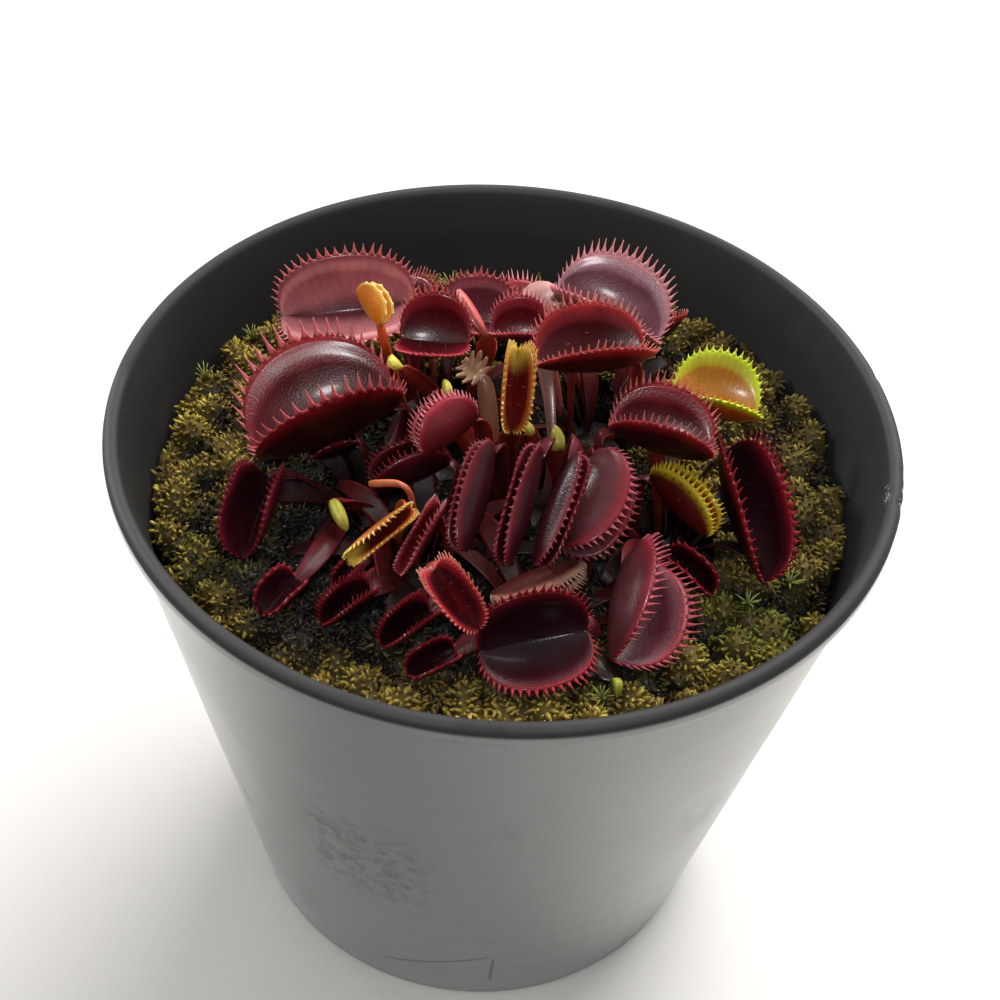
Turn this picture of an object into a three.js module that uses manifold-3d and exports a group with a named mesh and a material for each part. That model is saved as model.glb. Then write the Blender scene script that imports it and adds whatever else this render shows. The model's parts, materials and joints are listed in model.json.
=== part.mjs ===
// A potted Venus flytrap: a thin black nursery pot with its growing medium, a bumpy moss layer,
// seven short rhizomes with their roots, and a dense clump of leaves, each a winged stalk that
// carries a two-lobed trap with a toothed margin. Millimetres, +Z up, origin at the base centre.
import * as THREE from 'three';
import { mergeVertices } from 'three/addons/utils/BufferGeometryUtils.js';
import Module from 'manifold-3d';

const wasm = await Module();
wasm.setup();

// ---------------------------------------------------------------- driving dimensions
const POT_HEIGHT = 77;
const RIM_RADIUS = 45;            // outside of the rolled lip
const BASE_RADIUS = 31.9;         // outside of the foot
const WALL = 1.2;
const LIP_HEIGHT = 2.6;
const LIP_PROUD = 0.6;            // how far the lip stands out of the wall
const FLOOR = 1.6;
const FOOT_LIFT = 1.5;            // the floor is this far above the surface the foot stands on
const FOOT_WIDTH = 3.0;
const EDGE = 0.5;                 // how far the pot's edges are rounded
const POT_SIDES = 48;
const DRAIN_RADIUS = 3;
const DRAIN_RING = 17;
const DRAIN_COUNT = 6;

const CLEAR = 0.35;               // gap kept between touching pieces
const MEDIUM_TOP = 58;
const MEDIUM_CORNER = 1.5;        // bevel round the foot of the medium
const HOLE_SIDES = 12;

const MOSS_TOP = 66;              // mean height of the moss
const MOSS_SEED = 12;
const MOSS_RINGS = 14;            // rings of moss heads and hollows from the middle to the wall
const MOSS_WANDER = 1.1;          // how far a head or hollow strays from its even place
const MOSS_HEAD = [0.8, 2.5];     // lowest and highest moss head, over the mean
const MOSS_HOLLOW = [-1.9, -0.3];
const MOSS_SWELL = 1.1;           // three low swells round the edge
const MOSS_DIP = 1.8;             // the moss is thinner under the leaves
const MOSS_DIP_RADIUS = 32;
const MOSS_RIM_DROP = 1;          // the moss is lower where it meets the wall
const WELL_RADIUS = 6.8;          // plain hole in the moss round each rhizome

const RHIZOME_RADIUS = 3.6;
const RHIZOME_DEPTH = 15;
const RHIZOME_TOP = MEDIUM_TOP + 1.5;
const RHIZOME_TAPER = [[0, 0], [0.45, 0.04], [0.75, 0.27], [1, 0.8], [1, 1], [0, 1]];
const RHIZOME_SIDES = 9;
const ROOTS = 3;
const ROOT_RADIUS = 0.6;
const ROOT_LENGTH = [21, 28.5];
const ROOT_OFFSET = 1.5;          // from the rhizome's axis
const ROOT_START = 5;             // how far inside the rhizome a root begins
const SOCKET_RADIUS = 4.6;        // plain hole in the medium for a rhizome and its roots

const BLADE = 0.64;               // thickness of a lobe
const END_ANGLE = 105 * Math.PI / 180;   // where the margin arc meets the hinge
const HINGE_ARCH = 0.08;          // how far the hinge ends rise, by its length
const TOOTH_SPLAY = 0.15;         // how far the teeth lean the way the trap opens
const TOOTH_ENDS = 0.45;          // length of the end teeth by that of the middle ones
const BUD_SIDES = 6;

const STALK_THICK = 0.8;
const STALK_WIDTH = 2.6;
const STALK_FOOT = 1.1;           // width of a stalk at its foot and where it meets the hinge
const STALK_SHOULDER = 1.7;       // over 1 puts the widest place of a stalk nearer the trap
const STALK_RING = 0.7;           // from the side of the rhizome in to the middle of a stalk
const STALK_SPLAY = 0.35;         // how far a stalk leans out as it leaves the rhizome
const STALK_STEPS = 7;
const JOIN_ALONG = 0.07;          // the stalk meets the hinge this far along it, by its length,
const JOIN_RISE = 0.05;           // and this far to the inside

// ---------------------------------------------------------------- small helpers
const V = (x, y, z) => new THREE.Vector3(x, y, z);
const rad = THREE.MathUtils.degToRad;

function seededRandom(seed) {
  let state = seed;
  return () => {
    state = (state * 1664525 + 1013904223) % 4294967296;
    return state / 4294967296;
  };
}

function between([low, high], random) {
  return low + (high - low) * random();
}

// A closed geometry as a solid, with its shared vertices merged.
function solidFrom(geometry) {
  const bare = geometry.clone();
  bare.deleteAttribute('normal');
  bare.deleteAttribute('uv');
  const merged = mergeVertices(bare, 1e-4);
  const mesh = new wasm.Mesh({
    numProp: 3,
    vertProperties: new Float32Array(merged.attributes.position.array),
    triVerts: new Uint32Array(merged.index.array),
  });
  return new wasm.Manifold(mesh);
}

function geometryFrom(solid) {
  const mesh = solid.getMesh();
  const geometry = new THREE.BufferGeometry();
  geometry.setAttribute('position', new THREE.BufferAttribute(new Float32Array(mesh.vertProperties), 3));
  geometry.setIndex(new THREE.BufferAttribute(new Uint32Array(mesh.triVerts), 1));
  geometry.computeVertexNormals();
  return geometry;
}

// Puts a list of vertices and of triangles, given by vertex number, into a geometry.
function meshFrom(points, faces) {
  const geometry = new THREE.BufferGeometry();
  const flat = points.flatMap((p) => [p.x, p.y, p.z]);
  geometry.setAttribute('position', new THREE.Float32BufferAttribute(flat, 3));
  geometry.setIndex(faces.flat());
  geometry.computeVertexNormals();
  return geometry;
}

// The solid of a closed mesh, turned if its faces point in.
function facingOut(points, faces) {
  const solid = solidFrom(meshFrom(points, faces));
  return solid.volume() > 0 ? solid : solidFrom(meshFrom(points, faces.map(([a, b, c]) => [a, c, b])));
}

function largest(solid) {
  return solid.decompose().sort((p, q) => q.volume() - p.volume())[0];
}

// An upright round cutter that reaches from the given height to over the pot.
function cutter(radius, x, y, bottom) {
  const height = 2 * POT_HEIGHT;
  const geometry = new THREE.CylinderGeometry(radius, radius, height, HOLE_SIDES);
  geometry.rotateX(Math.PI / 2);
  geometry.translate(x, y, bottom + height / 2);
  return solidFrom(geometry);
}

// The pot wall's outer radius at a height, below the lip.
function wallRadius(z) {
  const top = RIM_RADIUS - LIP_PROUD;
  return BASE_RADIUS + (top - BASE_RADIUS) * z / POT_HEIGHT;
}

// The radius that a filling may have at a height.
function fillRadius(z) {
  return wallRadius(z) - WALL - CLEAR;
}

function lathe(profile, sides) {
  const geometry = new THREE.LatheGeometry(profile.map(([r, z]) => new THREE.Vector2(r, z)), sides);
  geometry.rotateX(Math.PI / 2);
  return solidFrom(geometry);
}

// ---------------------------------------------------------------- pot
function makePot() {
  const inner = (z) => wallRadius(z) - WALL;
  const under = POT_HEIGHT - LIP_HEIGHT;
  const floorTop = FOOT_LIFT + FLOOR;
  const profile = [
    [0, FOOT_LIFT],
    [BASE_RADIUS - FOOT_WIDTH, FOOT_LIFT],
    [BASE_RADIUS - FOOT_WIDTH + EDGE, 0],
    [BASE_RADIUS - EDGE, 0],
    [wallRadius(EDGE), EDGE],
    [wallRadius(under), under],
    [RIM_RADIUS, under + EDGE],
    [RIM_RADIUS, POT_HEIGHT - EDGE],
    [RIM_RADIUS - EDGE, POT_HEIGHT],
    [inner(POT_HEIGHT) + EDGE, POT_HEIGHT],
    [inner(POT_HEIGHT - EDGE), POT_HEIGHT - EDGE],
    [inner(floorTop + 2 * EDGE), floorTop + 2 * EDGE],
    [inner(floorTop) - 2 * EDGE, floorTop],
    [0, floorTop],
  ];
  let pot = lathe(profile, POT_SIDES).subtract(cutter(DRAIN_RADIUS, 0, 0, -FLOOR));
  for (let i = 0; i < DRAIN_COUNT; i++) {
    const a = 2 * Math.PI * i / DRAIN_COUNT;
    pot = pot.subtract(cutter(DRAIN_RADIUS, DRAIN_RING * Math.cos(a), DRAIN_RING * Math.sin(a), -FLOOR));
  }
  return geometryFrom(pot);
}

// ---------------------------------------------------------------- rhizomes
// Where each rhizome stands, seen from above.
const RHIZOMES = {
  middle: [3, 0],
  left: [-15, -3],
  right: [20, -6],
  back_left: [-9, 14],
  back_right: [11, 13],
  front: [5, -20],
  front_left: [-8, -13],
};

function makeRhizome([x, y], seed) {
  const random = seededRandom(seed);
  const bottom = RHIZOME_TOP - RHIZOME_DEPTH;
  const profile = RHIZOME_TAPER.map(([r, h]) => [r * RHIZOME_RADIUS, bottom + h * RHIZOME_DEPTH]);
  let body = lathe(profile, RHIZOME_SIDES).translate([x, y, 0]);
  const turn = 2 * Math.PI * random();
  for (let i = 0; i < ROOTS; i++) {
    const a = turn + 2 * Math.PI * i / ROOTS;
    const length = between(ROOT_LENGTH, random);
    const root = new THREE.CylinderGeometry(ROOT_RADIUS, ROOT_RADIUS / 2, length, 4);
    root.rotateX(Math.PI / 2);
    root.translate(x + ROOT_OFFSET * Math.cos(a), y + ROOT_OFFSET * Math.sin(a),
      bottom + ROOT_START - length / 2);
    body = body.add(solidFrom(root));
  }
  return geometryFrom(body);
}

// ---------------------------------------------------------------- medium
function makeMedium() {
  const bottom = FOOT_LIFT + FLOOR + CLEAR;
  let body = lathe([
    [0, bottom],
    [fillRadius(bottom) - MEDIUM_CORNER, bottom],
    [fillRadius(bottom + MEDIUM_CORNER), bottom + MEDIUM_CORNER],
    [fillRadius(MEDIUM_TOP), MEDIUM_TOP],
    [0, MEDIUM_TOP],
  ], POT_SIDES);
  const socketBottom = RHIZOME_TOP - RHIZOME_DEPTH - ROOT_LENGTH[1];
  for (const [x, y] of Object.values(RHIZOMES)) {
    body = body.subtract(cutter(SOCKET_RADIUS, x, y, socketBottom));
  }
  return geometryFrom(body);
}

// ---------------------------------------------------------------- moss
// The surface is a grid of rings, six more points on each than on the last, so that it is made of
// even triangles. Every third point is a moss head and the points between them are hollows.
function mossHeight(ring, j, a, r, random) {
  const atRim = ring === MOSS_RINGS;
  const head = (ring + j % ring + Math.floor(j / ring)) % 3 === 0;
  const relief = between(head ? MOSS_HEAD : MOSS_HOLLOW, random);
  const dip = MOSS_DIP * Math.max(0, 1 - (r / MOSS_DIP_RADIUS) ** 4);
  const swell = MOSS_SWELL * Math.sin(3 * a) * ring / MOSS_RINGS;
  return MOSS_TOP + relief + swell - dip - (atRim ? MOSS_RIM_DROP : 0);
}

function makeMoss() {
  const random = seededRandom(MOSS_SEED);
  const bottom = MEDIUM_TOP + CLEAR;
  const outer = fillRadius(MOSS_TOP) - EDGE;
  const step = outer / MOSS_RINGS;
  const points = [V(0, 0, MOSS_TOP)];
  const faces = [];
  const at = (ring, j) => (ring === 0 ? 0 : 1 + 3 * ring * (ring - 1) + (j % (6 * ring)));
  for (let ring = 1; ring <= MOSS_RINGS; ring++) {
    const wander = ring === MOSS_RINGS ? 0 : MOSS_WANDER;
    for (let j = 0; j < 6 * ring; j++) {
      const r = ring * step + wander * (random() - 0.5);
      const a = 2 * Math.PI * j / (6 * ring) + wander * (random() - 0.5) / (ring * step);
      points.push(V(r * Math.cos(a), r * Math.sin(a), mossHeight(ring, j, a, r, random)));
    }
  }
  for (let ring = 0; ring < MOSS_RINGS; ring++) {
    for (let side = 0; side < 6; side++) {
      for (let k = 0; k <= ring; k++) {
        const inside = ring * side + k;
        const outside = (ring + 1) * side + k;
        faces.push([at(ring, inside), at(ring + 1, outside), at(ring + 1, outside + 1)]);
        if (k < ring) {
          faces.push([at(ring, inside), at(ring + 1, outside + 1), at(ring, inside + 1)]);
        }
      }
    }
  }
  const sides = 6 * MOSS_RINGS;
  const floorStart = points.length;
  for (let j = 0; j < sides; j++) {
    const a = 2 * Math.PI * j / sides;
    points.push(V(fillRadius(bottom) * Math.cos(a), fillRadius(bottom) * Math.sin(a), bottom));
  }
  const centre = points.push(V(0, 0, bottom)) - 1;
  for (let j = 0; j < sides; j++) {
    const a = floorStart + j;
    const b = floorStart + (j + 1) % sides;
    const c = at(MOSS_RINGS, j + 1);
    faces.push([centre, b, a], [a, b, c], [a, c, at(MOSS_RINGS, j)]);
  }
  let moss = facingOut(points, faces);
  for (const [x, y] of Object.values(RHIZOMES)) {
    moss = moss.subtract(cutter(WELL_RADIUS, x, y, MEDIUM_TOP - CLEAR));
  }
  return geometryFrom(largest(moss));
}

// ---------------------------------------------------------------- traps
// A trap's own axes: along the hinge from its stalk end to its tip, the way it opens, and
// across. The hinge middle is the origin of the trap.
function trapFrame(leaf) {
  const base = V(...leaf.base);
  const tip = V(...leaf.tip);
  const along = tip.clone().sub(base);
  const length = along.length();
  along.normalize();
  const [azimuth, height] = leaf.faces.map(rad);
  const level = Math.cos(height);
  const opens = V(level * Math.cos(azimuth), level * Math.sin(azimuth), Math.sin(height));
  opens.addScaledVector(along, -opens.dot(along)).normalize();
  const across = along.clone().cross(opens);
  return { base, tip, along, opens, across, length, middle: base.clone().add(tip).multiplyScalar(0.5) };
}

// The mid-surface of a lobe. u runs -1..1 along the hinge, v runs 0..1 from hinge to margin.
function lobePoint(frame, leaf, side, u, v) {
  const half = frame.length / 2;
  const y = leaf.width * (Math.cos(u * END_ANGLE) - Math.cos(END_ANGLE)) / (1 - Math.cos(END_ANGLE));
  const hingeX = half * u;
  const marginX = half * Math.sin(u * END_ANGLE) / Math.sin(END_ANGLE);
  const x = hingeX + (marginX - hingeX) * v;
  const t = y * v / leaf.width;
  const cup = rad(leaf.cup);
  const start = rad(leaf.gape) / 2 + cup / 2;
  const turn = start - cup * t;
  const rise = leaf.width * (Math.sin(start) - Math.sin(turn)) / cup;
  const out = leaf.width * (Math.cos(turn) - Math.cos(start)) / cup;
  const arch = HINGE_ARCH * frame.length * (x / half) ** 2;
  return frame.middle.clone()
    .addScaledVector(frame.along, x)
    .addScaledVector(frame.opens, rise + arch)
    .addScaledVector(frame.across, side * out);
}

function makeTrap(leaf) {
  const frame = trapFrame(leaf);
  const columns = leaf.columns;
  const rows = leaf.rows;
  const mid = (i, j) => lobePoint(frame, leaf, Math.sign(j) || 1, -1 + 2 * i / columns, Math.abs(j) / rows);
  const points = [];
  const inner = [];
  const outer = [];
  for (let i = 0; i <= columns; i++) {
    inner.push([]);
    outer.push([]);
    for (let j = -rows; j <= rows; j++) {
      const ended = i === 0 || i === columns;
      const k = j + rows;
      if (ended && j > -rows) {
        inner[i][k] = inner[i][0];
        outer[i][k] = outer[i][0];
        continue;
      }
      const p = ended ? mid(i, 0) : mid(i, j);
      const du = mid(Math.min(i + 1, columns), ended ? 0 : j).sub(mid(Math.max(i - 1, 0), ended ? 0 : j));
      const dv = ended ? frame.across.clone()
        : mid(i, Math.min(j + 1, rows)).sub(mid(i, Math.max(j - 1, -rows)));
      const normal = du.cross(dv).normalize();
      inner[i][k] = points.push(p.clone().addScaledVector(normal, -BLADE / 2)) - 1;
      outer[i][k] = points.push(p.clone().addScaledVector(normal, BLADE / 2)) - 1;
    }
  }
  const faces = [];
  const quad = (a, b, c, d) => {
    if (a !== b && b !== c && a !== c) faces.push([a, b, c]);
    if (a !== c && c !== d && a !== d) faces.push([a, c, d]);
  };
  for (let i = 0; i < columns; i++) {
    for (let k = 0; k < 2 * rows; k++) {
      quad(outer[i][k], outer[i + 1][k], outer[i + 1][k + 1], outer[i][k + 1]);
      quad(inner[i][k], inner[i][k + 1], inner[i + 1][k + 1], inner[i + 1][k]);
    }
  }
  const random = seededRandom(leaf.seed);
  for (const k of [0, 2 * rows]) {
    const j = k - rows;
    for (let i = 0; i < columns; i++) {
      const loop = k === 0
        ? [inner[i][k], inner[i + 1][k], outer[i + 1][k], outer[i][k]]
        : [outer[i][k], outer[i + 1][k], inner[i + 1][k], inner[i][k]];
      const corners = [...new Set(loop)];
      const edge = mid(i, j).add(mid(i + 1, j)).multiplyScalar(0.5);
      const before = mid(i, j * 0.75).add(mid(i + 1, j * 0.75)).multiplyScalar(0.5);
      const reach = edge.clone().sub(before);
      if (reach.length() > 1e-6) reach.normalize();
      reach.addScaledVector(frame.opens, TOOTH_SPLAY).normalize();
      const ends = Math.sin(Math.PI * (i + 0.5) / columns);
      const tooth = leaf.teeth * (TOOTH_ENDS + (1 - TOOTH_ENDS) * ends) * between([0.85, 1.15], random);
      if (corners.length < 3) continue;
      const apex = points.push(edge.addScaledVector(reach, tooth)) - 1;
      for (let c = 0; c < corners.length; c++) {
        faces.push([corners[c], corners[(c + 1) % corners.length], apex]);
      }
    }
  }
  return { frame, solid: facingOut(points, faces) };
}

// A young trap that has not opened yet is one plump body, pointed at both ends.
function makeBud(leaf) {
  const frame = trapFrame(leaf);
  const stations = leaf.columns;
  const at = (x, rise, out) => frame.middle.clone().addScaledVector(frame.along, x)
    .addScaledVector(frame.opens, rise).addScaledVector(frame.across, out);
  const points = [at(-frame.length / 2, 0, 0)];
  const faces = [];
  const spot = (i, j) => 1 + (i - 1) * BUD_SIDES + (j % BUD_SIDES);
  for (let i = 1; i < stations; i++) {
    const u = -1 + 2 * i / stations;
    const round = Math.sqrt(1 - u * u);
    for (let j = 0; j < BUD_SIDES; j++) {
      const a = 2 * Math.PI * j / BUD_SIDES;
      const rise = leaf.width * round * (0.5 + 0.5 * Math.cos(a));
      const out = leaf.width * round * leaf.fat * Math.sin(a);
      points.push(at(u * frame.length / 2, rise, out));
    }
  }
  const tip = points.push(at(frame.length / 2, 0, 0)) - 1;
  for (let j = 0; j < BUD_SIDES; j++) {
    faces.push([0, spot(1, j), spot(1, j + 1)]);
    faces.push([tip, spot(stations - 1, j + 1), spot(stations - 1, j)]);
    for (let i = 1; i < stations - 1; i++) {
      faces.push([spot(i, j), spot(i + 1, j), spot(i + 1, j + 1)]);
      faces.push([spot(i, j), spot(i + 1, j + 1), spot(i, j + 1)]);
    }
  }
  return { frame, solid: facingOut(points, faces) };
}

// ---------------------------------------------------------------- stalks
// A flat strip along a curve from the rhizome to the hinge, wider near its top.
function makeStalk(leaf, frame) {
  const [cx, cy] = RHIZOMES[leaf.from];
  const out = V(Math.cos(rad(leaf.slot)), Math.sin(rad(leaf.slot)), 0);
  const foot = V(cx, cy, RHIZOME_TOP + CLEAR).addScaledVector(out, RHIZOME_RADIUS - STALK_RING);
  const end = frame.base.clone().addScaledVector(frame.along, JOIN_ALONG * frame.length)
    .addScaledVector(frame.opens, JOIN_RISE * frame.length);
  const reach = foot.distanceTo(end);
  const lift = V(0, 0, 1).addScaledVector(out, STALK_SPLAY).normalize();
  const lead = frame.along.clone().multiplyScalar(leaf.lead ?? 0.3 * reach);
  const curve = new THREE.CubicBezierCurve3(
    foot, foot.clone().addScaledVector(lift, (leaf.rise ?? 0.5) * reach), end.clone().sub(lead), end);
  const steps = leaf.steps ?? STALK_STEPS;
  const wide = leaf.stalk ?? STALK_WIDTH;
  const points = [];
  const faces = [];
  const across = frame.across.clone();
  for (let s = steps; s >= 0; s--) {
    const t = s / steps;
    const p = curve.getPoint(t);
    const tangent = curve.getTangent(t);
    across.addScaledVector(tangent, -across.dot(tangent)).normalize();
    const flat = tangent.clone().cross(across).normalize();
    const swell = Math.sin(Math.PI * t ** STALK_SHOULDER);
    const w = (STALK_FOOT + (wide - STALK_FOOT) * swell) / 2;
    const h = STALK_THICK / 2;
    for (const [a, b] of [[-1, -1], [1, -1], [1, 1], [-1, 1]]) {
      points.push(p.clone().addScaledVector(across, a * w).addScaledVector(flat, b * h));
    }
  }
  for (let s = 0; s < steps; s++) {
    for (let c = 0; c < 4; c++) {
      const a = 4 * s + c;
      const b = 4 * s + (c + 1) % 4;
      faces.push([a, a + 4, b + 4], [a, b + 4, b]);
    }
  }
  const last = 4 * steps;
  faces.push([0, 1, 2], [0, 2, 3], [last, last + 2, last + 1], [last, last + 3, last + 2]);
  return facingOut(points, faces);
}

function makeLeaf(leaf) {
  const { frame, solid } = leaf.fat ? makeBud(leaf) : makeTrap(leaf);
  return geometryFrom(largest(solid.add(makeStalk(leaf, frame))));
}

// ---------------------------------------------------------------- the leaves
// base and tip are the two ends of the hinge. faces is the way the trap opens, its azimuth from
// +X and its height over the level, in degrees. width is from hinge to margin, gape the angle
// between the lobes and cup how far each lobe curls in. from names the rhizome and slot the side
// of it, in degrees, that the stalk leaves; lead is how far it runs in line with the hinge.
// A bud has no gape: fat is half its thickness by its width.
const BIG = { columns: 12, rows: 3, cup: 30, teeth: 2 };
const HALF = { columns: 11, rows: 2, cup: 32, teeth: 1.8 };
const PLAIN = { columns: 9, rows: 2, cup: 34, teeth: 1.6 };
const CLOSED = { columns: 9, rows: 2, cup: 56, gape: 16, teeth: 1.1 };
const SMALL = { columns: 6, rows: 2, cup: 50, gape: 30, teeth: 0.8, steps: 6 };
const DRY = { columns: 5, rows: 1, cup: 40, teeth: 0.1, steps: 5 };
const BUD = { columns: 6, fat: 0.36, steps: 5 };

// The leaves are set out on a view of the clump from the front and above, 1000 units a side.
// seenAt is the point that lies at that height behind a spot of the view, to half a millimetre.
const EYE = new THREE.Vector3(0, -130.85, 195.026);
const VIEW_RIGHT = new THREE.Vector3(0.996751, 0.057396, 0.056510);
const VIEW_UP = new THREE.Vector3(-0.080546, 0.710273, 0.699303);
const VIEW_AHEAD = VIEW_UP.clone().cross(VIEW_RIGHT);
const VIEW_MIDDLE = 500;
const VIEW_REACH = 1550.00;
const PLACE_STEP = 0.5;
const TURN_STEP = 5;
const nearest = (value, step) => Math.round(value / step) * step;

function seenAt(across, down, height) {
  const sight = VIEW_AHEAD.clone().multiplyScalar(VIEW_REACH);
  sight.addScaledVector(VIEW_RIGHT, across - VIEW_MIDDLE);
  sight.addScaledVector(VIEW_UP, VIEW_MIDDLE - down);
  const point = EYE.clone().addScaledVector(sight, (height - EYE.z) / sight.z);
  return point.toArray().map((value) => nearest(value, PLACE_STEP));
}

// The azimuth and height of a direction, in degrees: facing takes it along the part's own
// axes, and seenWay to the right, up and towards the eye in the view.
function facing(x, y, z) {
  const angles = [Math.atan2(y, x), Math.asin(z / Math.hypot(x, y, z))];
  return angles.map((angle) => nearest(THREE.MathUtils.radToDeg(angle), TURN_STEP));
}

function seenWay(right, up, near) {
  const way = VIEW_RIGHT.clone().multiplyScalar(right);
  way.addScaledVector(VIEW_UP, up);
  way.addScaledVector(VIEW_AHEAD, -near);
  return facing(...way.toArray());
}

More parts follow.
